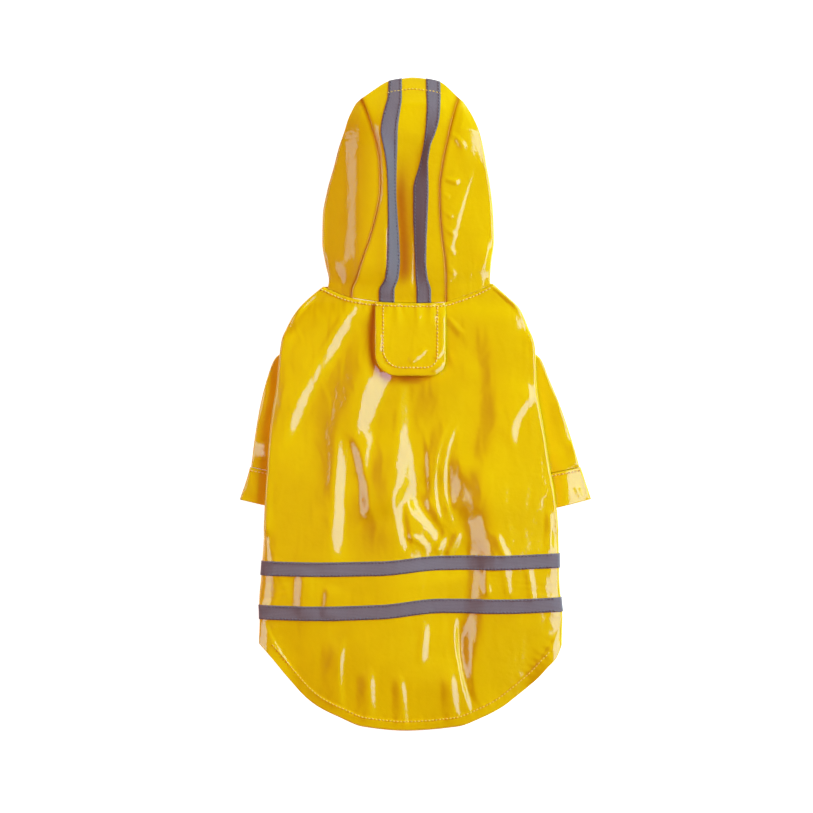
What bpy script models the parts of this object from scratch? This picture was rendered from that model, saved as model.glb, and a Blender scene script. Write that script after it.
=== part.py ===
"""Dog raincoat laid flat, back up: hood towards +Y, tail towards -Y, belly on z = 0.

Tables and sizes are in millimetres, as on a pattern sheet, and every mesh is scaled to metres
as it is made. Each panel is a grid of points worked out from its seams and a height, taken on
its outer face, and Solidify gives it its wall.
"""
import bpy
import numpy as np
from collections import namedtuple

MM = 0.001            # one millimetre in metres
CLOTH = 1.2           # wall of the coated cloth
TAPE = 1.0            # wall of the reflective tape
SEAM_GAP = 0.3        # space between two pieces at a seam, or one lying on the other
FOLD_RADIUS = 2.6     # outer radius of the cloth where it turns under at the sides
SLEEVE_DEPTH = 5.4    # height of a sleeve lying flat
SLEEVE_CLEAR = 6.0    # height of the back panel's turned-under part where it crosses a sleeve
SLEEVE_TOP = 36.0     # a sleeve lies beside and under the body from here
SLEEVE_END = -72.0    # to here
UNDERARM = 5.0        # the cloth stays raised this much further down at the underarm
SHOULDER_SHARE = 0.68 # this share of the height is reached at the back's rounded sides
DOME_REACH = 95.0     # and the rest this far in from them
HEM_FALL = 60.0       # how far in from the tail hem the back is still rising
HEM_HEIGHT = 1.6      # outer face of the tail at its hem
HEM_CORNER = 6.2      # and at the hem's two ends, where the turned-under part lies beneath it
DEEPEST = 4.8         # the hollows between the creases stay less deep than this
NECK_DIP = 1.6        # the cloth is drawn down this much along the neck seam

YELLOW = (0.80, 0.52, 0.0, 1.0)
TAPE_GREY = (0.20, 0.17, 0.21, 1.0)


# ---------------------------------------------------------------- tables

# One row for each height y up the coat: where the body turns under, where its side seams lie
# on the underside, how high the back stands in the middle, and how broadly its sides are rounded.
Body = namedtuple("Body", "y fold_left fold_right seam_left seam_right crown round_left round_right")
BODY = [
    Body(78.7, -58.0, 50.4, -53.0, 45.5, 10.5, 5.0, 5.0),
    Body(68.9, -69.9, 61.4, -64.5, 56.5, 11.0, 5.0, 5.0),
    Body(62.4, -76.4, 67.9, -71.0, 62.5, 11.3, 5.0, 5.0),
    Body(55.9, -80.9, 71.2, -76.0, 66.5, 11.6, 4.5, 4.5),
    Body(49.4, -84.2, 73.8, -79.5, 69.0, 12.0, 4.0, 4.5),
    Body(42.9, -86.8, 76.4, -82.0, 71.5, 12.4, 3.5, 4.0),
    Body(36.0, -88.0, 77.8, -84.0, 73.5, 12.8, 3.0, 4.0),
    Body(11.1, -90.7, 79.0, -75.0, 66.2, 13.6, 3.0, 4.0),
    Body(-9.1, -93.9, 82.2, -67.3, 60.2, 14.0, 3.0, 4.5),
    Body(-23.0, -95.2, 84.6, -62.0, 56.0, 14.2, 3.0, 4.5),
    Body(-40.0, -96.5, 87.3, -60.5, 55.0, 14.2, 3.0, 4.5),
    Body(-58.5, -97.8, 90.7, -60.5, 56.5, 14.0, 3.0, 4.5),
    Body(-87.1, -99.1, 93.3, -62.0, 58.5, 13.4, 7.0, 5.0),
    Body(-113.1, -100.8, 93.9, -63.5, 59.5, 12.6, 14.0, 7.0),
    Body(-127.4, -102.0, 94.9, -64.5, 60.5, 12.2, 16.0, 7.0),
    Body(-139.1, -101.6, 95.9, -65.0, 61.0, 11.8, 16.0, 8.0),
    Body(-156.0, -102.0, 95.5, -65.5, 61.5, 11.0, 14.0, 9.0),
    Body(-213.2, -102.0, 95.5, -65.5, 61.5, 9.0, 14.0, 9.0),
]

# Lines across the back panel, from its left side fold (across = 0) to its right one (across = 1).
Line = namedtuple("Line", "across y")
NECK_LINE = [Line(0.0, 76.7), Line(0.077, 72.5), Line(0.172, 68.9), Line(0.325, 66.6),
             Line(0.544, 65.7), Line(0.692, 65.9), Line(0.811, 69.3), Line(0.923, 74.2), Line(1.0, 78.7)]
UPPER_TAPE_TOP = [Line(0.0, -102.0), Line(0.2, -102.7), Line(0.4, -102.0), Line(0.6, -98.6),
                  Line(0.8, -98.2), Line(1.0, -96.9)]
LOWER_TAPE_TOP = [Line(0.0, -130.7), Line(0.2, -131.4), Line(0.4, -130.3), Line(0.6, -126.4),
                  Line(0.8, -126.8), Line(1.0, -125.5)]
HEM_LINE = [Line(0.0, -156.0), Line(0.041, -165.1), Line(0.094, -178.1), Line(0.153, -191.1),
            Line(0.196, -197.6), Line(0.262, -204.1), Line(0.344, -210.6), Line(0.482, -213.2),
            Line(0.653, -210.6), Line(0.742, -204.1), Line(0.804, -197.6), Line(0.847, -191.1),
            Line(0.887, -184.6), Line(0.923, -178.1), Line(0.952, -171.6), Line(0.982, -165.1),
            Line(1.0, -156.7)]
BACK_TAPE_WIDTH = 9.4     # as it shows; the tape is 10 wide along the cloth
FLAT_WIDTH = 196.0        # of the back, from side fold to side fold
UNDER_HEM_RISE = 9.0      # the hem climbs this much from the side fold to the side seam
BELLY_HEM_ARCH = 12.0     # how much higher the belly panel's hem is in the middle
BELLY_NECK_SCOOP = 16.0   # depth of the belly panel's neckline

# Creases of the back: a crest (height > 0) or a hollow from one end to the other, bowed to the
# right by bow, with a left and a right flank of these widths. At its end it is taper times as
# wide and high.
Crease = namedtuple("Crease", "x0 y0 x1 y1 bow left right taper height")
CREASES = [
    # left shoulder: a long soft fold curving down to the side, and the hollow beside it
    Crease(-17.9, 88.4, -89.4, -37.7, -9.0, 15.0, 80.0, 0.80, -2.40),
    Crease(-27.0, 88.4, -99.8, -37.7, -9.0, 34.0, 15.0, 0.80, 1.60),
    # from the leash flap's left corner down, and the folds left of the middle
    Crease(-12.0, 49.4, -20.5, -91.7, -24.0, 42.0, 20.0, 0.50, 3.20),
    Crease(31.5, 67.6, -42.6, -88.4, -18.0, 30.0, 46.0, 0.42, -4.70),
    Crease(-45.8, 2.6, -43.2, -115.7, 0.0, 5.5, 16.0, 2.90, -1.35),
    Crease(-40.0, -16.9, -29.6, -75.4, 5.0, 6.5, 34.0, 1.10, 1.75),
    # middle of the back: one broad fold that parts into two above the tape
    Crease(-2.9, 27.3, 5.5, -76.7, -2.0, 6.8, 16.0, 2.90, -1.35),
    Crease(0.3, -41.6, 20.5, -91.7, 2.0, 9.0, 10.0, 0.60, -2.30),
    # a fold running down to the right, above and across the tapes
    Crease(23.7, -37.7, 28.9, -114.4, 3.0, 46.0, 17.0, 1.25, -2.90),
    Crease(18.5, -40.3, 56.9, -114.4, 4.0, 18.0, 64.0, 1.20, 2.20),
    Crease(25.7, -29.9, 21.8, -76.7, 3.0, 10.0, 9.0, 1.00, 1.90),
    Crease(53.0, -81.9, 35.4, -200.2, 2.0, 15.0, 70.0, 1.00, 2.50),
    Crease(36.7, -81.9, 23.7, -192.4, 0.0, 46.0, 18.0, 1.00, -2.30),
    # right shoulder: a broad hollow, and a short arc at the side
    Crease(40.6, 61.1, 26.3, -75.4, 8.0, 60.0, 15.0, 1.00, -2.50),
    Crease(86.8, 19.5, 62.7, -32.5, -10.0, 26.0, 7.0, 0.70, 1.30),
    # tail
    Crease(-47.1, -148.2, -47.8, -206.7, -3.0, 14.0, 5.0, 1.00, 1.40),
    Crease(-30.9, -169.0, -29.6, -214.5, 0.0, 9.0, 5.0, 1.20, 1.50),
    Crease(22.4, -170.3, 27.0, -213.2, -1.0, 9.0, 5.0, 1.00, 1.50),
]

# The lines that run up the hood, a row for each height: side folds, panel seams and tape edges.
Hood = namedtuple("Hood", "y fold_left seam_left tape_a tape_b valley tape_c tape_d seam_right fold_right")
HOOD = [
    Hood(64.0, -59.1, -42.5, -23.7, -13.7, -6.8, 0.7, 10.1, 20.0, 49.1),
    Hood(73.5, -57.8, -41.9, -23.7, -13.7, -6.8, 0.7, 10.1, 19.8, 49.1),
    Hood(81.9, -56.4, -38.7, -19.8, -11.1, -4.5, 0.2, 7.9, 19.8, 48.6),
    Hood(92.3, -58.8, -35.4, -18.7, -10.2, -4.2, -0.1, 6.9, 19.2, 49.6),
    Hood(106.6, -61.1, -30.2, -18.2, -10.7, -5.0, -0.7, 7.2, 17.4, 51.5),
    Hood(122.9, -60.8, -25.6, -17.9, -12.3, -6.4, -1.3, 7.9, 16.0, 51.0),
    Hood(139.1, -57.9, -22.9, -18.1, -13.6, -7.4, -1.3, 8.4, 15.6, 49.4),
    Hood(155.3, -53.3, -23.2, -19.0, -12.8, -4.8, 2.6, 8.2, 17.6, 46.5),
    Hood(166.4, -50.4, -25.0, -20.8, -11.9, -1.0, 5.0, 9.6, 19.8, 44.5),
    Hood(176.8, -46.8, -27.8, -22.6, -11.6, -1.2, 6.4, 13.3, 22.1, 41.9),
    Hood(185.9, -43.9, -30.6, -21.4, -10.6, -2.0, 7.0, 15.6, 24.4, 38.0),
    Hood(193.1, -40.4, -33.2, -19.6, -9.5, -2.3, 7.3, 16.0, 26.2, 33.8),
    Hood(198.9, -37.6, -35.2, -18.1, -8.9, -2.3, 7.2, 16.2, 27.8, 30.6),
    Hood(206.0, -37.6, -35.2, -17.6, -8.9, -2.0, 7.0, 16.2, 27.8, 30.6),
    Hood(213.2, -37.6, -35.2, -17.4, -8.9, -2.0, 7.0, 16.0, 27.8, 30.6),
]
# How high the hood's outer face stands on those lines. The centre panel sinks into a valley
# between its two tapes, which lie on the valley's walls.
Height = namedtuple("Height", "y seam_left tape_a tape_b valley tape_c tape_d seam_right")
HOOD_HEIGHT = [
    Height(64.0, 9.5, 10.0, 9.6, 9.5, 9.6, 10.2, 9.5),
    Height(73.5, 9.8, 10.8, 9.2, 9.4, 9.6, 10.8, 9.8),
    Height(81.9, 11.9, 13.0, 8.2, 8.8, 9.4, 11.9, 11.6),
    Height(92.3, 13.2, 14.4, 7.7, 8.2, 8.9, 12.6, 12.6),
    Height(106.6, 14.0, 15.0, 7.5, 8.0, 8.7, 13.0, 13.0),
    Height(122.9, 14.4, 15.3, 7.5, 8.0, 8.8, 13.3, 13.2),
    Height(139.1, 14.6, 15.4, 7.7, 8.3, 9.2, 13.6, 13.3),
    Height(155.3, 14.6, 15.2, 9.0, 9.2, 9.7, 13.9, 13.5),
    Height(166.4, 14.2, 15.0, 11.0, 10.4, 10.3, 13.9, 13.3),
    Height(176.8, 13.0, 14.3, 12.8, 12.0, 11.6, 13.4, 12.1),
    Height(185.9, 11.2, 12.9, 12.6, 12.1, 11.9, 12.2, 10.2),
    Height(193.1, 8.9, 11.0, 11.6, 11.8, 11.6, 10.8, 8.1),
    Height(198.9, 6.8, 8.2, 9.4, 9.6, 9.4, 8.6, 6.4),
    Height(206.0, 4.5, 5.4, 6.0, 6.2, 6.0, 5.4, 4.5),
    Height(213.2, 4.0, 2.2, 2.2, 2.2, 2.2, 2.2, 4.0),
]
# Where the brim lies over each line of the centre panel.
Brim = namedtuple("Brim", "line y")
BRIM = [Brim("seam_left", 198.9), Brim("tape_a", 210.6), Brim("tape_b", 212.3), Brim("valley", 213.2),
        Brim("tape_c", 212.2), Brim("tape_d", 210.0), Brim("seam_right", 199.6)]
# A hood side panel from its fold (across = 0) to its seam (1): the share of the height it has reached.
Side = namedtuple("Side", "across left right")
HOOD_PROFILE = [Side(0.0, 0.0, 0.0), Side(0.04, 0.35, 0.40), Side(0.10, 0.62, 0.70), Side(0.35, 0.82, 0.89),
                Side(0.7, 0.95, 0.97), Side(1.0, 1.0, 1.0)]
HOOD_STEP = 1.6           # the left panel climbs this much
STEP_FROM, STEP_TO = -47.5, -35.6    # between these two places
# The face opening's edges, on the underside of the hood.
Opening = namedtuple("Opening", "y left right")
FACE_OPENING = [Opening(74.0, -52.0, 43.0), Opening(100.0, -43.0, 34.0), Opening(135.0, -38.0, 29.0),
                Opening(170.0, -35.0, 27.0), Opening(190.0, -33.5, 27.0), Opening(200.0, -33.0, 27.0)]

# A sleeve from its armhole (along = 0) to its cuff seam (along = 1) and the cuff's end (2):
# its outer edge, which shows beside the body, and its inner edge, hidden under the body.
Sleeve = namedtuple("Sleeve", "along outer_x outer_y inner_x inner_y")
SLEEVES = {
    "left": [Sleeve(0.0, -84.3, 35.5, -62.6, -23.5), Sleeve(0.18, -91.6, 29.9, -65.0, -28.0),
             Sleeve(0.4, -96.8, 16.9, -68.5, -34.0), Sleeve(0.65, -101.7, -2.6, -71.0, -40.0),
             Sleeve(0.85, -105.2, -24.0, -72.0, -45.0), Sleeve(1.0, -107.4, -41.0, -72.5, -49.0),
             Sleeve(2.0, -114.1, -62.3, -73.8, -72.0)],
    "right": [Sleeve(0.0, 73.8, 35.5, 58.0, -23.5), Sleeve(0.18, 81.4, 29.9, 61.0, -28.0),
              Sleeve(0.4, 87.0, 16.9, 64.5, -34.0), Sleeve(0.65, 95.0, -2.6, 66.5, -40.0),
              Sleeve(0.85, 102.2, -24.0, 68.0, -45.0), Sleeve(1.0, 107.2, -41.0, 69.0, -49.0),
              Sleeve(2.0, 114.1, -62.0, 71.5, -72.5)],
}
CUFF_STEP = 0.6           # the cuff is this much bigger all round than the sleeve

# The leash flap, from its neck seam down, and the gathers along that seam.
FLAP_LEFT, FLAP_RIGHT, FLAP_BOTTOM = -26.3, 19.6, 18.2
FLAP_CORNER_LEFT, FLAP_CORNER_RIGHT = 12.0, 8.0
FLAP_LIFT = 1.5           # how far it stands off the back
FLAP_DROOP = 0.3          # how far its edges come down again
GATHER_WIDTH = 2.2
Gather = namedtuple("Gather", "x length height")
GATHERS = [Gather(-19.2, 12.0, 0.6), Gather(-11.5, 22.0, 0.8), Gather(-4.0, 14.0, 0.6),
           Gather(2.5, 24.0, 0.8), Gather(10.5, 18.0, 0.7)]


# ---------------------------------------------------------------- curves and shapes

def smooth(low, high, value):
    """Smoothstep: 0 at low and before it, 1 at high and past it, a soft S between."""
    t = np.clip((value - low) / (high - low), 0.0, 1.0)
    return t * t * (3.0 - 2.0 * t)


def follow(table, name, at, key="y"):
    """A table's column as a smooth curve through its rows that never overshoots them.

    Cubic pieces whose slope at a row is the harmonic mean of the slopes on its two sides.
    """
    rows = sorted(table, key=lambda row: getattr(row, key))
    x = np.array([getattr(row, key) for row in rows])
    y = np.array([getattr(row, name) for row in rows])
    step = np.diff(x)
    slope = np.diff(y) / step
    before, after = slope[:-1], slope[1:]
    same_way = before * after > 0.0
    inner = np.where(same_way, 2.0 * before * after / np.where(same_way, before + after, 1.0), 0.0)
    grade = np.concatenate([slope[:1], inner, slope[-1:]])
    at = np.clip(np.asarray(at, dtype=float), x[0], x[-1])
    i = np.clip(np.searchsorted(x, at, side="right") - 1, 0, len(step) - 1)
    t = (at - x[i]) / step[i]
    return ((1.0 + 2.0 * t) * (1.0 - t) ** 2 * y[i] + t * (1.0 - t) ** 2 * step[i] * grade[i]
            + t * t * (3.0 - 2.0 * t) * y[i + 1] + t * t * (t - 1.0) * step[i] * grade[i + 1])


def straight(table, name, at):
    """A table's column with straight lines between its rows."""
    rows = sorted(table, key=lambda row: row.y)
    return np.interp(at, [row.y for row in rows], [getattr(row, name) for row in rows])


def rise(inset, width):
    """Height share of a rounded side: upright at the fold, level from width on (an ellipse)."""
    t = 1.0 - np.clip(inset / width, 0.0, 1.0)
    return np.sqrt(1.0 - t ** 2.2)


def crease_heights(x, y):
    """Sum of creases: half a cosine down each flank of the crest, fading in and out along it."""
    total = np.zeros_like(x)
    for crease in CREASES:
        dx, dy = crease.x1 - crease.x0, crease.y1 - crease.y0
        length = np.hypot(dx, dy)
        along = ((x - crease.x0) * dx + (y - crease.y0) * dy) / length ** 2
        off = ((y - crease.y0) * dx - (x - crease.x0) * dy) / length - crease.bow * 4.0 * along * (1.0 - along)
        size = 1.0 + (crease.taper - 1.0) * np.clip(along, 0.0, 1.0)
        t = np.where(off > 0.0, off / crease.right, -off / crease.left) / size
        bell = 0.5 + 0.5 * np.cos(np.pi * np.clip(t, 0.0, 1.0))
        ends = smooth(0.0, 0.3, along) * (1.0 - smooth(0.75, 1.0, along))
        total += crease.height * size * bell * ends
    return np.where(total < 0.0, DEEPEST * np.tanh(total / DEEPEST), total)


def over_sleeve(x, y, side):
    """How high the turned-under cloth is held up by the sleeve below it.

    It comes down past the sleeve's inner edge, and below the armhole only after UNDERARM.
    """
    rows = SLEEVES[side]
    inner = sorted([(row.inner_y - UNDERARM, row.inner_x) for row in rows])
    inner_x = np.interp(y, [p[0] for p in inner], [p[1] for p in inner])
    past = (x - inner_x) if side == "left" else (inner_x - x)
    past = np.where(y > rows[0].inner_y - UNDERARM, 0.0, past)
    beside = smooth(SLEEVE_TOP + 16.0, SLEEVE_TOP + 4.0, y) * smooth(SLEEVE_END - 17.0, SLEEVE_END - 7.0, y)
    return SLEEVE_CLEAR * beside * (1.0 - smooth(2.5, 7.5, past))


def hem_y(x):
    """The tail's hem under a point of the back."""
    across = (x - HEM_LEFT) / (HEM_RIGHT - HEM_LEFT)
    return follow(HEM_LINE, "y", across, key="across")


def neck_y(x):
    """The neck seam over a point of the back."""
    left = float(follow(BODY, "fold_left", NECK_LINE[0].y))
    right = float(follow(BODY, "fold_right", NECK_LINE[-1].y))
    return follow(NECK_LINE, "y", (x - left) / (right - left), key="across")


def side_share(inset, width):
    """Height share reached this far in: the side's edge, then a shallow parabola to the middle."""
    width = np.maximum(width, 9.0)
    tight = 0.72 * (1.0 - smooth(5.0, 12.0, width))
    edge = tight * rise(inset, 0.3 * width) + (1.0 - tight) * rise(inset, (1.0 - 0.35 * tight) * width)
    dome = 1.0 - (1.0 - np.clip(inset / DOME_REACH, 0.0, 1.0)) ** 2
    return SHOULDER_SHARE * edge + (1.0 - SHOULDER_SHARE) * dome


def side_low(inset, y, side):
    """How high a side of the body is lifted by the sleeve under it: at the fold just over the
    sleeve, and further in fading away more slowly towards the neck and the tail."""
    at_fold = over_sleeve(follow(BODY, "fold_" + side, y), y, side)
    further_in = SLEEVE_CLEAR * smooth(72.0, 22.0, y) * smooth(-112.0, -48.0, y)
    return at_fold + (further_in - at_fold) * smooth(0.0, 9.0, inset)


def back_height(x, y, room=0.0, creased=1.0):
    """Outer face of the back: a low dome with rounded sides, down to the hem, plus its creases.

    room is how far the turned-under part is raised below its side folds.
    """
    inset_left = x - follow(BODY, "fold_left", y)
    inset_right = follow(BODY, "fold_right", y) - x
    hem = HEM_CORNER + (HEM_HEIGHT - HEM_CORNER) * smooth(5.0, 26.0, np.minimum(inset_left, inset_right))
    fall = 1.0 - (1.0 - np.clip((y - hem_y(x)) / HEM_FALL, 0.0, 1.0)) ** 2
    crown = hem + (follow(BODY, "crown", y) - hem) * fall
    low_left = side_low(inset_left, y, "left") + room + FOLD_RADIUS
    low_right = side_low(inset_right, y, "right") + room + FOLD_RADIUS
    height = (crown - (crown - low_left) * (1.0 - side_share(inset_left, follow(BODY, "round_left", y)))
              - (crown - low_right) * (1.0 - side_share(inset_right, follow(BODY, "round_right", y))))
    away = smooth(0.5, 6.0, inset_left) * smooth(0.5, 6.0, inset_right)
    neck_dip = NECK_DIP * np.exp(-((y - NECK_LINE[3].y) / 7.0) ** 2)
    return height + (creased * crease_heights(x, y) * (0.25 + 0.75 * fall) - neck_dip) * away


HEM_LEFT = float(follow(BODY, "fold_left", HEM_LINE[0].y))
HEM_RIGHT = float(follow(BODY, "fold_right", HEM_LINE[-1].y))


# ---------------------------------------------------------------- meshes

for thing in list(bpy.data.objects):
    bpy.data.objects.remove(thing, do_unlink=True)
coat = bpy.data.collections.new("dog_raincoat")
bpy.context.scene.collection.children.link(coat)


def material(name, colour, roughness):
    """A plain finish for the pieces that share it."""
    made = bpy.data.materials.new(name)
    made.use_nodes = True
    shader = made.node_tree.nodes["Principled BSDF"]
    shader.inputs["Base Color"].default_value = colour
    shader.inputs["Roughness"].default_value = roughness
    shader.inputs["Metallic"].default_value = 0.0
    return made


wet_cloth = material("wet_cloth", YELLOW, 0.15)
reflective = material("reflective_tape", TAPE_GREY, 0.5)


def panel(name, points, finish, wall=CLOTH, round_and_round=False):
    """A piece of cloth from a grid of points on its outer face, rows by columns by (x, y, z).

    Rows run from the top of the piece down and columns from left to right, seen from outside.
    Each square is cut along the same diagonal, so a piece laid on another stays clear of it.
    """
    rows, columns = points.shape[:2]
    last = columns if round_and_round else columns - 1
    faces = []
    for r in range(rows - 1):
        for c in range(last):
            d = (c + 1) % columns
            a, b = r * columns + c, (r + 1) * columns + c
            e, f = (r + 1) * columns + d, r * columns + d
            faces += [(a, b, e), (a, e, f)]
    mesh = bpy.data.meshes.new(name)
    mesh.from_pydata((points.reshape(-1, 3) * MM).tolist(), [], faces)
    mesh.materials.append(finish)
    mesh.shade_smooth()
    mesh.set_sharp_from_angle(angle=np.radians(50.0))
    piece = bpy.data.objects.new(name, mesh)
    coat.objects.link(piece)
    thickness = piece.modifiers.new("wall", "SOLIDIFY")
    thickness.thickness = wall * MM
    thickness.offset = -1.0
    thickness.use_even_offset = False
    return piece


def moved_out(points, distance):
    """A grid of points moved along the surface's normals, which are worked out from the grid."""
    down = np.gradient(points, axis=0)
    right = np.gradient(points, axis=1)
    normal = np.cross(down, right)
    normal /= np.linalg.norm(normal, axis=2, keepdims=True)
    return points + normal * distance


# ---------------------------------------------------------------- back panel

def share(first, last, steps, power=1.0):
    """Even steps from first to last, without the last, closer together at the start."""
    return [first + (last - first) * (i / steps) ** power for i in range(steps)]


# Rows: the lines they lie between, as (start line, end line, steps, spacing).
upper_bottom = [Line(row.across, row.y - BACK_TAPE_WIDTH) for row in UPPER_TAPE_TOP]
lower_bottom = [Line(row.across, row.y - BACK_TAPE_WIDTH) for row in LOWER_TAPE_TOP]
BANDS = [(NECK_LINE, UPPER_TAPE_TOP, 20, 1.08), (UPPER_TAPE_TOP, upper_bottom, 2, 1.0),
         (upper_bottom, LOWER_TAPE_TOP, 3, 1.0), (LOWER_TAPE_TOP, lower_bottom, 2, 1.0),
         (lower_bottom, HEM_LINE, 8, 1.0)]
band_starts = np.cumsum([0] + [band[2] for band in BANDS])

# Columns: on the underside from the side seam out, round the fold, across, and back under.
edge_columns = np.array([0.0, 0.9, 3.2, 6.5, 10.5, 15.0]) / FLAT_WIDTH
across_columns = np.concatenate([edge_columns[:-1], np.linspace(edge_columns[-1], 1.0 - edge_columns[-1], 34),
                                 1.0 - edge_columns[-2::-1]])
under_shares = np.array([1.0, 0.86, 0.70, 0.56, 0.0])
turn_angles = np.radians([30.0, 60.0])
TAPE_ROOM = TAPE + SEAM_GAP     # the underside stands this high where a tape goes round it


def back_row(y_across, y_under, room):
    """One row of the back panel, from the left side seam round to the right one.

    y_across holds the height up the coat of each column on top, y_under what is added to it on
    the underside, from the fold (0) to the seam (1), and room how far the underside is raised.
    """
    left_fold = float(follow(BODY, "fold_left", y_across[0]))
    right_fold = float(follow(BODY, "fold_right", y_across[-1]))
    x = left_fold + across_columns * (right_fold - left_fold)
    top = np.stack([x, y_across, back_height(x, y_across, room)], axis=1)
    ends = []
    for side, fold, y_fold, inward in (("left", left_fold, y_across[0], 1.0),
                                       ("right", right_fold, y_across[-1], -1.0)):
        y = y_fold + y_under * under_shares
        seam = straight(BODY, "seam_" + side, y)
        turn_start = fold + inward * FOLD_RADIUS
        under_x = turn_start + (seam - turn_start) * under_shares
        under_z = over_sleeve(under_x, y, side) + room
        turn_x = fold + inward * FOLD_RADIUS * (1.0 - np.sin(turn_angles))
        turn_z = over_sleeve(turn_x, y_fold, side) + room + FOLD_RADIUS * (1.0 - np.cos(turn_angles))
        ends.append(np.concatenate([np.stack([under_x, y, under_z], axis=1),
                                    np.stack([turn_x, np.full(2, y_fold), turn_z], axis=1)]))
    return np.concatenate([ends[0], top, ends[1][::-1]])


def back_grid():
    """All rows of the back panel, from the neck seam to the hem."""
    rows = []
    for start, end, steps, spacing in BANDS:
        to_hem = end is HEM_LINE
        for t in share(0.0, 1.0, steps, spacing) + ([1.0] if to_hem else []):
            on_tape = start in (UPPER_TAPE_TOP, LOWER_TAPE_TOP) or (start is upper_bottom and t == 0.0)
            y = ((1.0 - t) * follow(start, "y", across_columns, key="across")
                 + t * follow(end, "y", across_columns, key="across"))
            if start is NECK_LINE:
                y = y - 0.5 * SEAM_GAP * (1.0 - t)
            room = TAPE_ROOM if on_tape or to_hem else 0.0
            rows.append(back_row(y, UNDER_HEM_RISE * t if to_hem else 0.0, room))
    return np.array(rows)


back_points = back_grid()
panel("back_panel", back_points, wet_cloth)

# The two tapes lie on the back panel's own rows and go round to the side seams. The panel's
# underside makes room for them, so that they rest on the surface too.
for tape, band in (("back_tape_upper", 1), ("back_tape_lower", 3)):
    strip = back_points[band_starts[band]:band_starts[band + 1] + 1]
    panel(tape, moved_out(strip, SEAM_GAP + TAPE), reflective, wall=TAPE)


# ---------------------------------------------------------------- belly panel

def belly_grid():
    """The belly panel on z = 0, row by row between the back's two seam edges.

    Its neckline is scooped and its hem arched, both by a parabola across. Where the back's edge
    is lifted off the surface, the belly's stands a little further off.
    """
    columns = np.linspace(0.0, 1.0, 9)
    arch = 4.0 * columns * (1.0 - columns)
    rows = []
    for level in list(range(band_starts[-2] + 1)) + [len(back_points) - 1]:
        left, right = back_points[level, 0], back_points[level, -1]
        around = slice(max(level - 1, 0), level + 2)
        clear_left = SEAM_GAP + 1.4 * min(back_points[around, 0, 2].max(), CLOTH)
        clear_right = SEAM_GAP + 1.4 * min(back_points[around, -1, 2].max(), CLOTH)
        x = left[0] + clear_left + (right[0] - clear_right - left[0] - clear_left) * columns
        y = left[1] + (right[1] - left[1]) * columns
        y = (y - BELLY_NECK_SCOOP * arch * smooth(20.0, 76.0, y)
             + BELLY_HEM_ARCH * arch * smooth(-80.0, -147.0, y))
        rows.append(np.stack([x, y, np.zeros_like(y)], axis=1))
    return np.array(rows)


# The outer face of the belly looks down, so its columns run the other way.
panel("belly_panel", belly_grid()[:, ::-1], wet_cloth)


# ---------------------------------------------------------------- sleeves and cuffs

def tube_ring(outer, inner, depth, grow):
    """A flattened tube's outline: level below and above, with half-round edges.

    outer and inner are its two edges on the ground, and the ring runs from the inner edge
    under to the outer one and back over the top.
    """
    span = outer - inner
    length = np.linalg.norm(span)
    direction = span / length
    radius = 0.5 * depth
    flat = np.linspace(radius, length - radius, 6)
    turn = np.radians([30.0, 90.0, 150.0])
    reach = np.concatenate([flat, length - radius + radius * np.sin(turn), flat[::-1],
                            radius - radius * np.sin(turn)])
    height = np.concatenate([np.zeros(6), radius - radius * np.cos(turn), np.full(6, depth),
                             radius + radius * np.cos(turn)])
    middle = 0.5 * length
    reach = middle + (reach - middle) * (1.0 + 2.0 * grow / length)
    return np.concatenate([inner + reach[:, None] * direction, height[:, None]], axis=1)


def sleeve_grid(side, stations, grow):
    """Rings of a sleeve or cuff at the given stations of its table."""
    rows = SLEEVES[side]
    rings = []
    for station in stations:
        outer = np.array([follow(rows, "outer_x", station, key="along"),
                          follow(rows, "outer_y", station, key="along")], dtype=float)
        inner = np.array([follow(rows, "inner_x", station, key="along"),
                          follow(rows, "inner_y", station, key="along")], dtype=float)
        rings.append(tube_ring(outer, inner, SLEEVE_DEPTH, grow))
    rings = np.array(rings)
    return rings if side == "left" else rings[:, ::-1]


sleeve_stations = [0.0, 0.12, 0.3, 0.5, 0.75, 0.992]
cuff_stations = [1.008, 1.5, 2.0]
for side in SLEEVES:
    panel("sleeve_" + side, sleeve_grid(side, sleeve_stations, 0.0), wet_cloth, round_and_round=True)
    panel("cuff_" + side, sleeve_grid(side, cuff_stations, CUFF_STEP), wet_cloth, round_and_round=True)


# ---------------------------------------------------------------- hood

HOOD_LINES = ["seam_left", "tape_a", "tape_b", "valley", "tape_c", "tape_d", "seam_right"]
HOOD_STEPS = [2, 2, 3, 3, 2, 2]          # columns between one line and the next
HOOD_ROWS = 22
CREST_BULGE = 0.6                        # the crests are this much rounder than straight lines
HOOD_TIP = 3.0                           # the side panels' folds end this far short of their seams
TIP_GAP = 0.4                            # the seams are this much wider at the brim, where they bend over
HOOD_BLEND = 15.0                        # the hood meets the back's height over this distance


def hood_line(name, climb):
    """Points of one line of the hood, from the neck seam (climb = 0) to the brim (climb = 1)."""
    brim = {row.line: row.y for row in BRIM}[name]
    start = NECK_LINE[4].y
    for _ in range(4):          # the neck seam's height and the line's place there, found together
        start = float(neck_y(float(follow(HOOD, name, start)))) + 0.5 * SEAM_GAP
    y = start + (brim - start) * climb
    x = follow(HOOD, name, y)
    return np.stack([x, y, follow(HOOD_HEIGHT, name, y)], axis=1)


def meet_back(points):
    """Bring the lowest rows to the back panel's height, so the neck seam is level across."""
    base = back_height(points[..., 0], np.minimum(points[..., 1], BODY[0].y))
    above = np.maximum(points[..., 1] - neck_y(points[..., 0]), 0.0)
    close = np.exp(-(above / HOOD_BLEND) ** 2)
    points[..., 2] += (base - points[..., 2]) * close
    return points


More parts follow.
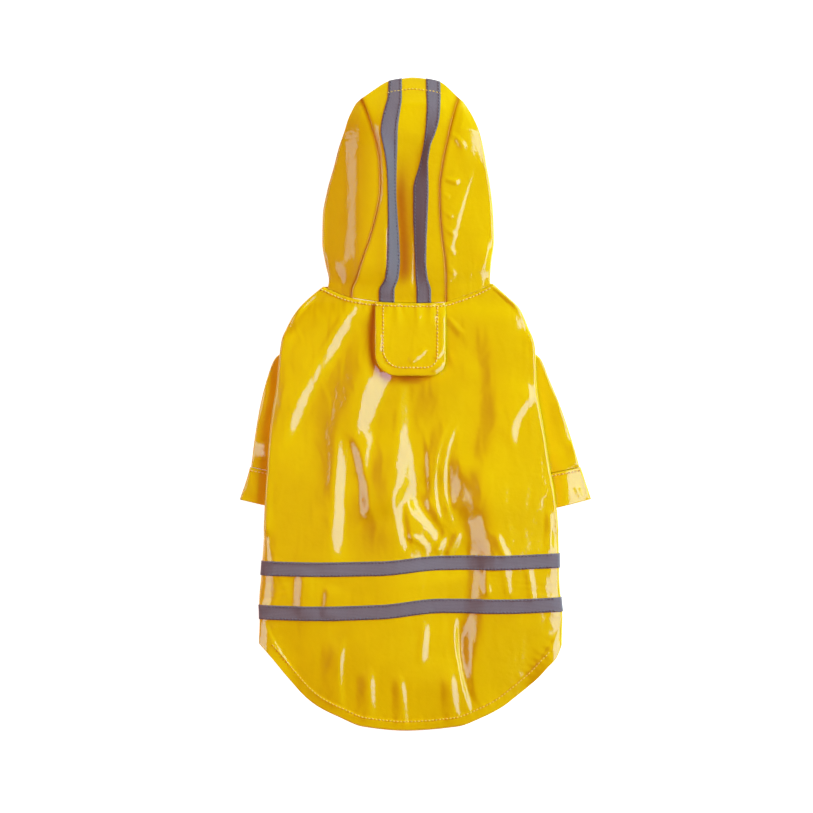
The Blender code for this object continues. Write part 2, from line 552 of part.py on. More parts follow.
climb = 1.0 - np.linspace(0.0, 1.0, HOOD_ROWS + 1)
lines = {name: hood_line(name, climb) for name in HOOD_LINES}


def centre_grid():
    """The hood's centre panel: straight across between its lines, with rounded crests."""
    columns = []
    for here, there, steps in zip(HOOD_LINES[:-1], HOOD_LINES[1:], HOOD_STEPS):
        for i in range(steps):
            t = i / steps
            point = lines[here] * (1.0 - t) + lines[there] * t
            if "seam" in here or "seam" in there:
                point[:, 2] += CREST_BULGE * smooth(1.0, 0.85, climb) * 4.0 * t * (1.0 - t)
            columns.append(point)
    columns.append(lines["seam_right"])
    points = np.stack(columns, axis=1)
    points[:, 0, 0] += 0.5 * SEAM_GAP
    points[:, -1, 0] -= 0.5 * SEAM_GAP
    return meet_back(points)


centre_points = centre_grid()
panel("hood_centre", centre_points, wet_cloth)
for tape, first in (("hood_tape_left", HOOD_STEPS[0]), ("hood_tape_right", sum(HOOD_STEPS[:4]))):
    strip = moved_out(centre_points, SEAM_GAP + TAPE)[:, first:first + 3]
    panel(tape, strip, reflective, wall=TAPE)


def side_grid(side):
    """A hood side panel, from its free edge on the underside round the fold to its centre seam."""
    inward = 1.0 if side == "left" else -1.0
    seam = lines["seam_" + side].copy()
    seam[:, 0] -= inward * (0.5 * SEAM_GAP + TIP_GAP * smooth(0.75, 0.95, climb))
    fold_neck = NECK_LINE[0].y if side == "left" else NECK_LINE[-1].y
    fold_y = fold_neck + 0.5 * SEAM_GAP + (seam[0, 1] - HOOD_TIP - fold_neck) * climb
    t = np.array([0.0, 0.04, 0.1, 0.2, 0.33, 0.46, 0.6, 0.8, 1.0])
    shares = np.array([1.0, 0.5, 0.0])
    rows = []
    for (seam_x, seam_y, seam_z), y_fold, up in zip(seam, fold_y, climb):
        step = HOOD_STEP * smooth(0.08, 0.25, up) * smooth(0.95, 0.75, up) if side == "left" else 0.0
        fold = float(follow(HOOD, "fold_" + side, y_fold))
        radius = min(FOLD_RADIUS, 0.45 * seam_z)
        x = fold + (seam_x - fold) * t
        y = y_fold + (seam_y - y_fold) * t
        y = y + (neck_y(fold + (seam[-1, 0] - fold) * t) + 0.5 * SEAM_GAP
                 - (fold_y[-1] + (seam[-1, 1] - fold_y[-1]) * t)) * (1.0 - up) ** 2
        climbed = smooth(STEP_FROM, STEP_TO, np.array([seam_x, *x]))
        z = (radius + (seam_z - radius - step * climbed[0]) * follow(HOOD_PROFILE, side, t, key="across")
             + step * climbed[1:])
        top = np.stack([x, y, z], axis=1)
        edge = float(follow(FACE_OPENING, side, y_fold))
        reach = max(abs(edge - fold), radius + 1.5)
        under_x = fold + inward * (radius + (reach - radius) * shares)
        turn_x = fold + inward * radius * (1.0 - np.sin(turn_angles))
        turn_z = radius * (1.0 - np.cos(turn_angles))
        under = np.stack([under_x, np.full(3, y_fold), np.zeros(3)], axis=1)
        turn = np.stack([turn_x, np.full(2, y_fold), turn_z], axis=1)
        rows.append(np.concatenate([under, turn, top]))
    points = np.array(rows)
    points[:, 5:] = meet_back(points[:, 5:])
    return points if side == "left" else points[:, ::-1]


for side in ("left", "right"):
    panel("hood_side_" + side, side_grid(side), wet_cloth)


# ---------------------------------------------------------------- leash flap

def flap_grid():
    """The flap over the back: rounded lower corners, gathered at its seam, standing off below."""
    across = np.linspace(0.0, 1.0, 15)
    x = FLAP_LEFT + (FLAP_RIGHT - FLAP_LEFT) * across
    from_side = np.minimum(x - FLAP_LEFT, FLAP_RIGHT - x)
    cut = (FLAP_CORNER_LEFT * (1.0 - rise(x - FLAP_LEFT, FLAP_CORNER_LEFT))
           + FLAP_CORNER_RIGHT * (1.0 - rise(FLAP_RIGHT - x, FLAP_CORNER_RIGHT)))
    top_y = neck_y(x) - SEAM_GAP
    bottom_y = FLAP_BOTTOM + cut
    rows = []
    for t in np.linspace(0.0, 1.0, 10):
        y = top_y + (bottom_y - top_y) * t
        ripple = sum(g.height * np.exp(-((x - g.x) / GATHER_WIDTH) ** 2)
                     * (1.0 - smooth(0.2, 1.0, (top_y - y) / g.length)) for g in GATHERS)
        edge_droop = FLAP_DROOP * (1.0 - smooth(0.0, 5.0, from_side)) * smooth(0.0, 0.3, t)
        lift = FLAP_LIFT * smooth(0.0, 0.35, t) * (1.0 - 0.35 * smooth(0.7, 1.0, t))
        under = np.maximum(back_height(x, y), back_height(x, y, creased=0.0))
        z = under + CLOTH + 2.0 * SEAM_GAP + ripple + lift - edge_droop
        rows.append(np.stack([x, y, z], axis=1))
    return np.array(rows)


panel("leash_flap", flap_grid(), wet_cloth)
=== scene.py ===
"""A dog raincoat of wet-look cloth, lying flat on a white table with its back up.

Tables and sizes are in millimetres, as on a pattern sheet, and every mesh is scaled to metres as
it is made. The hood lies towards +Y, the tail towards -Y and the belly panel on z = 0.
"""
from collections import namedtuple

import bpy
import numpy as np
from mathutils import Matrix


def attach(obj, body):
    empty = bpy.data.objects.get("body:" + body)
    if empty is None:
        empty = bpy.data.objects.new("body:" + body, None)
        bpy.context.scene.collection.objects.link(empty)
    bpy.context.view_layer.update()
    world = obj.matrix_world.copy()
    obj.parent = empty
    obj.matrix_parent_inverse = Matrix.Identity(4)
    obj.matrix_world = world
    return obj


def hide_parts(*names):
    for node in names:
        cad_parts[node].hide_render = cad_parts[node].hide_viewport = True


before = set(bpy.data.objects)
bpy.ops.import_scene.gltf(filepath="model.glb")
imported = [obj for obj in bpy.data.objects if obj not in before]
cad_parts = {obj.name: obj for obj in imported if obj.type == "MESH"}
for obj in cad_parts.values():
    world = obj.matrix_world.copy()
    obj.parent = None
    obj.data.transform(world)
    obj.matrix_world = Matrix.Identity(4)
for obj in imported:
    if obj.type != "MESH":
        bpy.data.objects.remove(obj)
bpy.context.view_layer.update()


# ================================================================ table, camera and lights
# A plain white table top with a glow of its own, a camera straight above the coat, and four
# lights: a key from the right and a warm fill from above, which nothing mirrors, and a softbox on
# each side, which shows only in reflections.

MM = 0.001
FRAME_WIDTH = 0.52845           # what the camera sees, side to side, at the coat's height
LENS, SENSOR = 100.0, 36.0
FOCUS_HEIGHT = 0.008
CAMERA_X, CAMERA_Y = -0.00585, -0.0016
TABLE_SIZE, TABLE_HEIGHT = 6.0, -0.0004
TABLE_GLOW = 0.93

camera_data = bpy.data.cameras.new("camera")
camera_data.lens = LENS
camera_data.sensor_width = SENSOR
camera = bpy.data.objects.new("camera", camera_data)
camera.location = (CAMERA_X, CAMERA_Y, FRAME_WIDTH * LENS / SENSOR + FOCUS_HEIGHT)
bpy.context.scene.collection.objects.link(camera)
bpy.context.scene.camera = camera
bpy.context.scene.view_settings.view_transform = "Standard"


def add_node(tree, kind, inputs=None, **settings):
    """A shader node with its settings, and each input given a value or joined to a socket."""
    made = tree.nodes.new("ShaderNode" + kind)
    for name, value in settings.items():
        setattr(made, name, value)
    for name, value in (inputs or {}).items():
        if isinstance(value, bpy.types.NodeSocket):
            tree.links.new(value, made.inputs[name])
        else:
            made.inputs[name].default_value = value
    return made


def colour_ramp(tree, share, low, high, low_at=0.0, high_at=1.0):
    """A socket whose colour goes from low to high as the share goes from low_at to high_at."""
    made = add_node(tree, "ValToRGB", {"Fac": share})
    first, last = made.color_ramp.elements
    first.position = low_at
    first.color = (*low, 1.0)
    last.position = high_at
    last.color = (*high, 1.0)
    return made.outputs["Color"]


def new_finish(name, **sockets):
    """A material with its Principled shader's sockets set, such as Coat_Weight=1.0."""
    made = bpy.data.materials.new(name)
    made.use_nodes = True
    shader = made.node_tree.nodes["Principled BSDF"]
    for socket, value in sockets.items():
        shader.inputs[socket.replace("_", " ")].default_value = value
    return made, made.node_tree, shader


table_white, tree, shader = new_finish("table_white", Base_Color=(0.5, 0.5, 0.5, 1.0), Roughness=0.7,
                                       Specular_IOR_Level=0.2)
shader.inputs["Emission Color"].default_value = (1.0, 1.0, 1.0, 1.0)
shader.inputs["Emission Strength"].default_value = TABLE_GLOW

bpy.ops.mesh.primitive_plane_add(size=TABLE_SIZE, location=(0.0, 0.0, TABLE_HEIGHT))
table = bpy.context.object
table.name = "table_top"
table.data.materials.append(table_white)

world = bpy.data.worlds.new("studio")
bpy.context.scene.world = world
world.use_nodes = True
sky = world.node_tree
up = add_node(sky, "SeparateXYZ", {"Vector": add_node(sky, "TexCoord").outputs["Generated"]})
dusk = colour_ramp(sky, up.outputs["Z"], (0.52, 0.40, 0.34), (0.03, 0.028, 0.025), high_at=0.75)
sky.links.new(dusk, sky.nodes["Background"].inputs["Color"])
sky.nodes["Background"].inputs["Strength"].default_value = 1.0

Lamp = namedtuple("Lamp", "name tilt turn distance width length power colour lights_cloth mirrored")
LAMPS = [
    Lamp("key", 54.0, 30.0, 2.3, 1.3, 1.3, 67.0, (0.58, 1.0, 1.0), True, False),
    Lamp("fill", 12.0, 180.0, 2.6, 1.6, 1.6, 38.0, (1.0, 0.43, 0.30), True, False),
    Lamp("softbox_right", 36.0, 0.0, 1.2, 0.58, 1.50, 20.0, (0.30, 0.50, 1.0), False, True),
    Lamp("softbox_left", 46.0, 180.0, 1.2, 0.58, 1.30, 15.0, (0.36, 0.66, 0.86), False, True),
]


def hang_lamp(lamp):
    """An area light tilted from upright and turned from +X round to +Y, facing the coat."""
    light = bpy.data.lights.new(lamp.name, "AREA")
    light.shape = "RECTANGLE"
    light.size, light.size_y = lamp.width, lamp.length
    light.energy = lamp.power
    light.color = lamp.colour
    thing = bpy.data.objects.new(lamp.name, light)
    tilt, turn = np.radians(lamp.tilt), np.radians(lamp.turn)
    aside = lamp.distance * np.sin(tilt)
    thing.location = (aside * np.cos(turn), aside * np.sin(turn), lamp.distance * np.cos(tilt))
    thing.rotation_euler = (0.0, tilt, turn)
    thing.visible_camera = False
    thing.visible_diffuse = lamp.lights_cloth
    thing.visible_glossy = lamp.mirrored
    bpy.context.scene.collection.objects.link(thing)


for lamp in LAMPS:
    hang_lamp(lamp)


# ================================================================ back panel
# One piece of polyester with a glossy polyurethane coating, from the neck seam to the rounded
# tail. Its sides turn under to the belly's seams, and its hem is turned up and stitched.

CLOTH = 0.7               # wall of the coated cloth
FOLD_RADIUS = 2.6         # outer radius where the cloth turns under at the sides
SLEEVE_DEPTH = 5.4
SLEEVE_CLEAR = 6.0        # height of the turned-under part where it crosses a sleeve
SLEEVE_TOP, SLEEVE_END = 36.0, -72.0
UNDERARM = 5.0
SHOULDER_SHARE = 0.68     # this share of the height is reached within the rounded side
TIGHT_SHARE = 0.72        # and this share of that in a tight turn, where the rounding is narrow
DOME_REACH = 95.0         # the rest is reached this far in
HEM_FALL = 60.0           # the crown comes down to the hem over this length
HEM_HEIGHT, HEM_CORNER = 1.6, 6.2
CORNER_FROM, CORNER_TO = 5.0, 26.0    # the hem comes down from its corners between these insets
NECK_DIP, NECK_DIP_REACH = 1.6, 7.0
TAPE_ROOM = 1.3           # the underside stands this high where a tape goes round it
TAPE_WIDTH = 9.4
FLAT_WIDTH = 196.0
SIDE_WIDTH = 22.0         # the grid's columns stand closer together over this width at each side
UNDER_HEM_RISE = 9.0
CREASED_HEM = 0.25        # creases keep this share of their height at the hem
HEM_STITCH = 6.2          # from the hem's edge to its row of stitches
HEM_DOUBLE = 0.5          # the hem is turned up, so it stands this much prouder
NECK_STITCH = 2.4         # from the neck seam to its row of stitches
HEM_PUCKER, NECK_PUCKER = 0.11, 0.06
HEM_PUCKER_LENGTH, NECK_PUCKER_LENGTH = 6.3, 4.7
HEM_PUCKER_REACH, NECK_PUCKER_REACH = 3.6, 5.0
TAIL_X, TAIL_Y, TAIL_RADIUS = -3.0, -110.0, 105.0
TURNED_UP_BELOW = -140.0  # the hem's turned-up edge shows only from here to the tail
# painted shade: flanks that rise to the right face away from the key light and are painted darker
LEAN_SHADE = 0.37         # cloth that rises to the right is this much deeper in colour
LEAST_STEP = 0.3          # columns closer than this are turning under, and aren't shaded so
# painted shadow: the leash flap's shadow on the back is painted in as deeper colour
FLAP_SHADE = 0.8          # the back is this much deeper in colour beside the leash flap
BELOW_FLAP_SHARE = 0.7    # and this share of that below it
BESIDE_FLAP_X, BELOW_FLAP_Y = -29.0, 16.0

# One row for each height y: where the body turns under, where its side seams lie underneath,
# how high the back stands in the middle, and how broadly its two sides are rounded.
Body = namedtuple("Body", "y fold_left fold_right seam_left seam_right crown round_left round_right")
BODY = [
    Body(78.7, -58.0, 50.4, -53.0, 45.5, 10.5, 5.0, 5.0),
    Body(68.9, -69.9, 61.4, -64.5, 56.5, 11.0, 5.0, 5.0),
    Body(62.4, -76.4, 67.9, -71.0, 62.5, 11.3, 5.0, 5.0),
    Body(55.9, -80.9, 71.2, -76.0, 66.5, 11.6, 4.5, 4.5),
    Body(49.4, -84.2, 73.8, -79.5, 69.0, 12.0, 4.0, 4.5),
    Body(42.9, -86.8, 76.4, -82.0, 71.5, 12.4, 3.5, 4.0),
    Body(36.0, -88.0, 77.8, -84.0, 73.5, 12.8, 3.0, 4.0),
    Body(11.1, -90.7, 79.0, -75.0, 66.2, 13.6, 3.0, 4.0),
    Body(-9.1, -93.9, 82.2, -67.3, 60.2, 14.0, 3.0, 3.6),
    Body(-23.0, -95.2, 84.6, -62.0, 56.0, 14.2, 3.0, 3.4),
    Body(-40.0, -96.5, 87.3, -60.5, 55.0, 14.2, 3.0, 3.4),
    Body(-58.5, -97.8, 90.7, -60.5, 56.5, 14.0, 3.0, 3.4),
    Body(-87.1, -99.1, 93.3, -62.0, 58.5, 13.2, 7.0, 3.5),
    Body(-113.1, -100.8, 93.9, -63.5, 59.5, 11.8, 13.0, 3.5),
    Body(-127.4, -102.0, 94.9, -64.5, 60.5, 10.8, 14.0, 3.8),
    Body(-139.1, -101.6, 95.9, -65.0, 61.0, 9.8, 14.0, 4.0),
    Body(-156.0, -102.0, 95.5, -65.5, 61.5, 8.6, 12.0, 4.4),
    Body(-213.2, -102.0, 95.5, -65.5, 61.5, 6.5, 12.0, 4.6),
]

# Lines across the back, from its left side fold (across = 0) to its right one (across = 1).
Line = namedtuple("Line", "across y")
NECK_LINE = [Line(0.0, 76.7), Line(0.077, 72.5), Line(0.172, 68.9), Line(0.325, 66.6),
             Line(0.544, 65.7), Line(0.692, 65.9), Line(0.811, 69.3), Line(0.923, 74.2), Line(1.0, 78.7)]
UPPER_TAPE_TOP = [Line(0.0, -102.0), Line(0.2, -102.7), Line(0.4, -102.0), Line(0.6, -98.6),
                  Line(0.8, -98.2), Line(1.0, -96.9)]
LOWER_TAPE_TOP = [Line(0.0, -130.7), Line(0.2, -131.4), Line(0.4, -130.3), Line(0.6, -126.4),
                  Line(0.8, -126.8), Line(1.0, -125.5)]
HEM_LINE = [Line(0.0, -156.0), Line(0.041, -165.1), Line(0.094, -178.1), Line(0.153, -191.1),
            Line(0.196, -197.6), Line(0.262, -204.1), Line(0.344, -210.6), Line(0.482, -213.2),
            Line(0.653, -210.6), Line(0.742, -204.1), Line(0.804, -197.6), Line(0.847, -191.1),
            Line(0.887, -184.6), Line(0.923, -178.1), Line(0.952, -171.6), Line(0.982, -165.1),
            Line(1.0, -156.7)]

# Creases from top to bottom: a crest from one end to the other, bowed to the right by bow, with
# a left and a right flank of these widths. At its end it is taper times as wide and high.
Crease = namedtuple("Crease", "x0 y0 x1 y1 bow left right taper height")
CREASES = [
    # left shoulder: a long soft fold curving down to the side, and the hollow beside it
    Crease(-2.3, 92.3, -85.5, -41.6, -9.5, 13.0, 80.0, 0.80, -1.95),
    Crease(-11.4, 92.3, -93.3, -37.7, -9.5, 34.0, 13.0, 0.80, 1.20),
    Crease(-33.5, 65.7, -45.2, 50.7, 0.0, 4.0, 5.0, 0.80, -0.50),
    Crease(-42.6, 78.0, -75.1, -101.4, 0.0, 38.0, 15.0, 1.20, -0.85),
    Crease(-43.9, 59.8, -62.1, 28.6, 0.0, 5.0, 9.0, 1.00, 0.50),
    # from the leash flap's left corner down, and the folds left of the middle
    Crease(-12.0, 49.4, -20.5, -91.7, -24.0, 42.0, 20.0, 0.50, 3.20),
    Crease(31.5, 67.6, -42.6, -88.4, -18.0, 30.0, 46.0, 0.47, -4.70),
    Crease(-45.8, 2.6, -43.2, -115.7, 0.0, 5.5, 16.0, 2.90, -1.35),
    Crease(-30.9, -13.0, -36.1, -52.0, 0.0, 12.0, 6.5, 0.80, 1.00),
    Crease(-42.6, -13.0, -29.6, -78.0, 5.0, 7.5, 34.0, 1.10, 2.30),
    # middle of the back: one broad fold that parts into two above the tape
    Crease(-2.9, 27.3, 5.5, -76.7, -2.0, 6.8, 16.0, 2.90, -1.35),
    Crease(-7.5, -50.7, -2.3, -98.8, -3.0, 8.0, 6.0, 0.60, -1.45),
    Crease(-8.8, -52.0, 23.7, -93.6, 0.0, 8.0, 9.0, 0.70, -1.80),
    # thin bowed folds right of the middle
    Crease(26.3, -2.6, 19.8, -87.1, -11.0, 9.0, 3.0, 1.00, 1.00),
    Crease(30.2, -5.2, 26.3, -83.2, -10.0, 8.0, 2.8, 1.00, 0.90),
    Crease(4.9, -11.7, 9.4, -71.5, 2.0, 3.0, 12.0, 1.00, 0.50),
    # above the upper tape
    Crease(-8.1, -84.5, 9.4, -96.2, 2.0, 4.0, 4.0, 1.00, 0.80),
    Crease(20.5, -80.6, 13.3, -98.8, 0.0, 4.0, 3.5, 1.00, 0.90),
    Crease(29.6, -80.6, 20.5, -101.4, 0.0, 4.0, 3.0, 1.00, 0.90),
    # a fold running down to the right, above and across the tapes
    Crease(23.1, -38.4, 30.9, -115.7, 2.0, 50.0, 22.0, 1.15, -4.20),
    Crease(28.9, -42.9, 58.2, -114.4, 3.0, 17.0, 54.0, 1.05, 1.70),
    Crease(29.6, -28.6, 26.3, -76.7, 2.0, 10.0, 22.0, 1.00, 1.70),
    Crease(51.0, -81.9, 60.1, -102.7, 0.0, 5.0, 3.5, 1.00, 0.80),
    Crease(51.0, -85.8, 33.5, -196.3, 2.0, 15.0, 54.0, 1.00, 1.70),
    Crease(34.8, -81.9, 22.4, -188.5, 0.0, 50.0, 19.0, 1.00, -3.10),
    Crease(28.9, -135.2, 40.6, -206.7, -4.5, 3.0, 9.0, 0.55, -2.80),
    # right shoulder: a broad hollow, and a short arc at the side
    Crease(32.8, 62.4, 25.0, -67.6, 9.0, 56.0, 16.0, 1.00, -2.30),
    Crease(86.8, 13.0, 62.7, -32.5, -10.0, 26.0, 7.0, 0.70, 1.30),
    Crease(20.5, 57.2, 32.2, 43.6, 0.0, 5.0, 2.6, 1.00, 0.55),
    Crease(18.5, 36.4, 39.3, 11.7, 2.0, 9.0, 10.0, 1.00, 0.35),
    Crease(86.8, -65.7, 88.1, -98.8, 0.0, 5.0, 4.0, 1.00, 0.80),
    # between the tapes
    Crease(-72.5, -105.3, -73.8, -141.7, 0.0, 7.0, 16.0, 1.00, 1.60),
    Crease(-55.6, -115.7, -58.8, -141.7, 0.0, 5.0, 14.0, 1.00, 1.30),
    Crease(44.5, -101.4, 47.1, -127.4, 0.0, 4.0, 3.5, 1.00, 0.60),
    Crease(56.9, -104.0, 60.8, -127.4, 0.0, 4.0, 3.5, 1.00, 0.50),
    Crease(72.5, -104.0, 76.4, -131.3, 0.0, 4.0, 3.5, 1.00, 0.55),
    # tail: its right part leans left
    Crease(81.6, -98.8, 74.4, -200.2, 0.0, 40.0, 24.0, 1.00, 0.90),
    Crease(56.9, -101.4, 48.4, -208.0, 0.0, 36.0, 38.0, 1.00, -1.40),
    Crease(-47.1, -148.2, -47.8, -206.7, -3.0, 14.0, 5.0, 1.00, 1.40),
    Crease(-30.9, -169.0, -29.6, -214.5, 0.0, 9.0, 5.0, 1.20, 1.50),
    Crease(-10.7, -172.9, -7.5, -215.8, 0.0, 7.0, 4.5, 1.20, 1.30),
    Crease(6.8, -140.4, 2.9, -171.6, 0.0, 6.0, 3.6, 1.00, 0.75),
    Crease(22.4, -170.3, 27.0, -213.2, -1.0, 9.0, 5.0, 1.00, 1.50),
]
# Faint unevenness everywhere: waves of these lengths, directions, phases and heights.
Wave = namedtuple("Wave", "length direction phase height")
WAVES = [Wave(31.0, 8.0, 0.4, 0.04), Wave(23.0, 152.0, 2.1, 0.025), Wave(17.0, 21.0, 4.0, 0.011),
         Wave(13.0, 171.0, 1.2, 0.007), Wave(47.0, 74.0, 5.2, 0.08), Wave(9.0, 38.0, 3.3, 0.004)]


def smooth(low, high, value):
    """Smoothstep: 0 at low and before it, 1 at high and past it, a soft S between."""
    t = np.clip((value - low) / (high - low), 0.0, 1.0)
    return t * t * (3.0 - 2.0 * t)


def fade(distance, width):
    """1 at no distance and falling away on both sides: exp(-(distance / width) squared)."""
    return np.exp(-(distance / width) ** 2)


def even_slopes(slope):
    """A smooth curve's slopes at its rows, from the straight slopes between them.

    At a row it is the harmonic mean of the slopes on its two sides, and 0 where they differ in
    sign, so the curve never overshoots its rows.
    """
    before, after = slope[:-1], slope[1:]
    same_way = before * after > 0.0
    inner = np.where(same_way, 2.0 * before * after / np.where(same_way, before + after, 1.0), 0.0)
    return np.concatenate([slope[:1], inner, slope[-1:]])


def cubic(t, start, leaving, end, arriving):
    """A cubic from start (t = 0) to end (t = 1), with these slopes as it leaves and arrives."""
    return ((1.0 + 2.0 * t) * (1.0 - t) ** 2 * start + t * (1.0 - t) ** 2 * leaving
            + t * t * (3.0 - 2.0 * t) * end + t * t * (t - 1.0) * arriving)


def follow(table, name, at, key="y"):
    """A table's column as a smooth curve through its rows, ordered by the column key."""
    rows = sorted(table, key=lambda row: getattr(row, key))
    x = np.array([getattr(row, key) for row in rows])
    y = np.array([getattr(row, name) for row in rows])
    step = np.diff(x)
    grade = even_slopes(np.diff(y) / step)
    at = np.clip(np.asarray(at, dtype=float), x[0], x[-1])
    i = np.clip(np.searchsorted(x, at, side="right") - 1, 0, len(step) - 1)
    t = (at - x[i]) / step[i]
    return cubic(t, y[i], step[i] * grade[i], y[i + 1], step[i] * grade[i + 1])


def straight(table, name, at):
    """A table's column with straight lines between its rows."""
    rows = sorted(table, key=lambda row: row.y)
    return np.interp(at, [row.y for row in rows], [getattr(row, name) for row in rows])


def rise(inset, width):
    """Height share of a rounded side: upright at the fold, level from width on (an ellipse)."""
    t = 1.0 - np.clip(inset / width, 0.0, 1.0)
    return np.sqrt(1.0 - t ** 2.2)


def crease_heights(x, y, creases):
    """Sum of creases: half a cosine down each flank of the crest, fading in and out along it."""
    total = np.zeros_like(x)
    for crease in creases:
        dx, dy = crease.x1 - crease.x0, crease.y1 - crease.y0
        length = np.hypot(dx, dy)
        along = ((x - crease.x0) * dx + (y - crease.y0) * dy) / length ** 2
        bowed = crease.bow * 4.0 * along * (1.0 - along)
        off = ((y - crease.y0) * dx - (x - crease.x0) * dy) / length - bowed
        size = 1.0 + (crease.taper - 1.0) * np.clip(along, 0.0, 1.0)
        t = np.where(off > 0.0, off / crease.right, -off / crease.left) / size
        bell = 0.5 + 0.5 * np.cos(np.pi * np.clip(t, 0.0, 1.0))
        ends = smooth(0.0, 0.3, along) * (1.0 - smooth(0.75, 1.0, along))
        total += crease.height * size * bell * ends
    return total


def unevenness(x, y):
    """Sum of plane waves, each shifted a little by the one before it so that none repeats."""
    total = np.zeros_like(x)
    shift = 0.0
    for wave in WAVES:
        turn = np.radians(wave.direction)
        phase = 2.0 * np.pi * (x * np.cos(turn) + y * np.sin(turn)) / wave.length + wave.phase + shift
        total += wave.height * np.sin(phase)
        shift = 1.3 * np.sin(phase)
    return total


def over_sleeve(x, y, side):
    """How high the turned-under cloth is held up by the sleeve below it."""
    rows = SLEEVES[side]
    inner = sorted([(row.inner_y - UNDERARM, row.inner_x) for row in rows])
    inner_x = np.interp(y, [p[0] for p in inner], [p[1] for p in inner])
    past = (x - inner_x) if side == "left" else (inner_x - x)
    past = np.where(y > rows[0].inner_y - UNDERARM, 0.0, past)
    beside = smooth(SLEEVE_TOP + 16.0, SLEEVE_TOP + 4.0, y) * smooth(SLEEVE_END - 17.0, SLEEVE_END - 7.0, y)
    return SLEEVE_CLEAR * beside * (1.0 - smooth(2.5, 7.5, past))


def hem_y(x):
    """The tail's hem under a point of the back."""
    return follow(HEM_LINE, "y", (x - HEM_LEFT) / (HEM_RIGHT - HEM_LEFT), key="across")


def neck_y(x):
    """The neck seam over a point of the back."""
    left = float(follow(BODY, "fold_left", NECK_LINE[0].y))
    right = float(follow(BODY, "fold_right", NECK_LINE[-1].y))
    return follow(NECK_LINE, "y", (x - left) / (right - left), key="across")


def side_share(inset, width):
    """Height share reached this far in: the side's edge, then a shallow parabola to the middle.

    Where the rounding is narrow, most of it is a tight turn and the rest a small bevel.
    """
    tight = TIGHT_SHARE * (1.0 - smooth(5.0, 12.0, width))
    edge = tight * rise(inset, 0.3 * width) + (1.0 - tight) * rise(inset, (1.0 - 0.35 * tight) * width)
    dome = 1.0 - (1.0 - np.clip(inset / DOME_REACH, 0.0, 1.0)) ** 2
    return SHOULDER_SHARE * edge + (1.0 - SHOULDER_SHARE) * dome


def side_low(inset, y, side):
    """How high a side of the body is lifted by the sleeve under it.

    At the fold it lies just over the sleeve, and from 9 mm further in the lift fades away more
    slowly towards the neck and the tail.
    """
    at_fold = over_sleeve(follow(BODY, "fold_" + side, y), y, side)
    further_in = SLEEVE_CLEAR * smooth(72.0, 22.0, y) * smooth(-112.0, -48.0, y)
    return at_fold + (further_in - at_fold) * smooth(0.0, 9.0, inset)


def puckers(x, y):
    """The cloth drawn up by its stitches: short waves that die out away from the two rows.

    Round the tail the waves are counted by the angle about a point inside it.
    """
    round_tail = TAIL_RADIUS * np.arctan2(x - TAIL_X, -(y - TAIL_Y))
    from_hem = (y - hem_y(x)) * np.abs(np.cos(round_tail / TAIL_RADIUS))
    hem = HEM_PUCKER * np.sin(2.0 * np.pi * round_tail / HEM_PUCKER_LENGTH + 1.9 * np.sin(round_tail / 8.0))
    below_neck = neck_y(x) - y
    neck = NECK_PUCKER * np.sin(2.0 * np.pi * x / NECK_PUCKER_LENGTH + 1.7 * np.sin(x / 6.0))
    turned_up = HEM_DOUBLE * smooth(HEM_STITCH + 0.6, HEM_STITCH - 0.8, from_hem)
    return (hem * fade(from_hem - HEM_STITCH, HEM_PUCKER_REACH) + turned_up * (y < TURNED_UP_BELOW)
            + neck * fade(below_neck - NECK_STITCH, NECK_PUCKER_REACH))


def back_height(x, y, room=0.0, creased=1.0):
    """Outer face of the back: a low dome with rounded sides, down to the hem, plus its creases."""
    inset_left = x - follow(BODY, "fold_left", y)
    inset_right = follow(BODY, "fold_right", y) - x
    inset = np.minimum(inset_left, inset_right)
    hem = HEM_CORNER + (HEM_HEIGHT - HEM_CORNER) * smooth(CORNER_FROM, CORNER_TO, inset)
    fall = 1.0 - (1.0 - np.clip((y - hem_y(x)) / HEM_FALL, 0.0, 1.0)) ** 2
    crown = hem + (follow(BODY, "crown", y) - hem) * fall
    low_left = side_low(inset_left, y, "left") + room + FOLD_RADIUS
    low_right = side_low(inset_right, y, "right") + room + FOLD_RADIUS
    height = (crown - (crown - low_left) * (1.0 - side_share(inset_left, follow(BODY, "round_left", y)))
              - (crown - low_right) * (1.0 - side_share(inset_right, follow(BODY, "round_right", y))))
    away = smooth(0.5, 6.0, inset_left) * smooth(0.5, 6.0, inset_right)
    neck_dip = NECK_DIP * fade(y - NECK_LINE[3].y, NECK_DIP_REACH)
    uneven = creased * crease_heights(x, y, CREASES) + unevenness(x, y)
    uneven = uneven * (CREASED_HEM + (1.0 - CREASED_HEM) * fall)
    return height + (uneven + puckers(x, y) - neck_dip) * away


Sleeve = namedtuple("Sleeve", "along outer_x outer_y inner_x inner_y")
SLEEVES = {
    "left": [Sleeve(0.0, -84.3, 35.5, -62.6, -23.5), Sleeve(0.18, -91.6, 29.9, -65.0, -28.0),
             Sleeve(0.4, -96.8, 16.9, -68.5, -34.0), Sleeve(0.65, -101.7, -2.6, -71.0, -40.0),
             Sleeve(0.85, -105.2, -24.0, -72.0, -45.0), Sleeve(1.0, -107.4, -41.0, -72.5, -49.0),
             Sleeve(2.0, -114.1, -62.3, -73.8, -72.0)],
    "right": [Sleeve(0.0, 73.8, 35.5, 58.0, -23.5), Sleeve(0.18, 81.4, 29.9, 61.0, -28.0),
              Sleeve(0.4, 87.0, 16.9, 64.5, -34.0), Sleeve(0.65, 95.0, -2.6, 66.5, -40.0),
              Sleeve(0.85, 102.2, -24.0, 68.0, -45.0), Sleeve(1.0, 107.2, -41.0, 69.0, -49.0),
              Sleeve(2.0, 114.1, -62.0, 71.5, -72.5)],
}
HEM_LEFT = float(follow(BODY, "fold_left", HEM_LINE[0].y))
HEM_RIGHT = float(follow(BODY, "fold_right", HEM_LINE[-1].y))

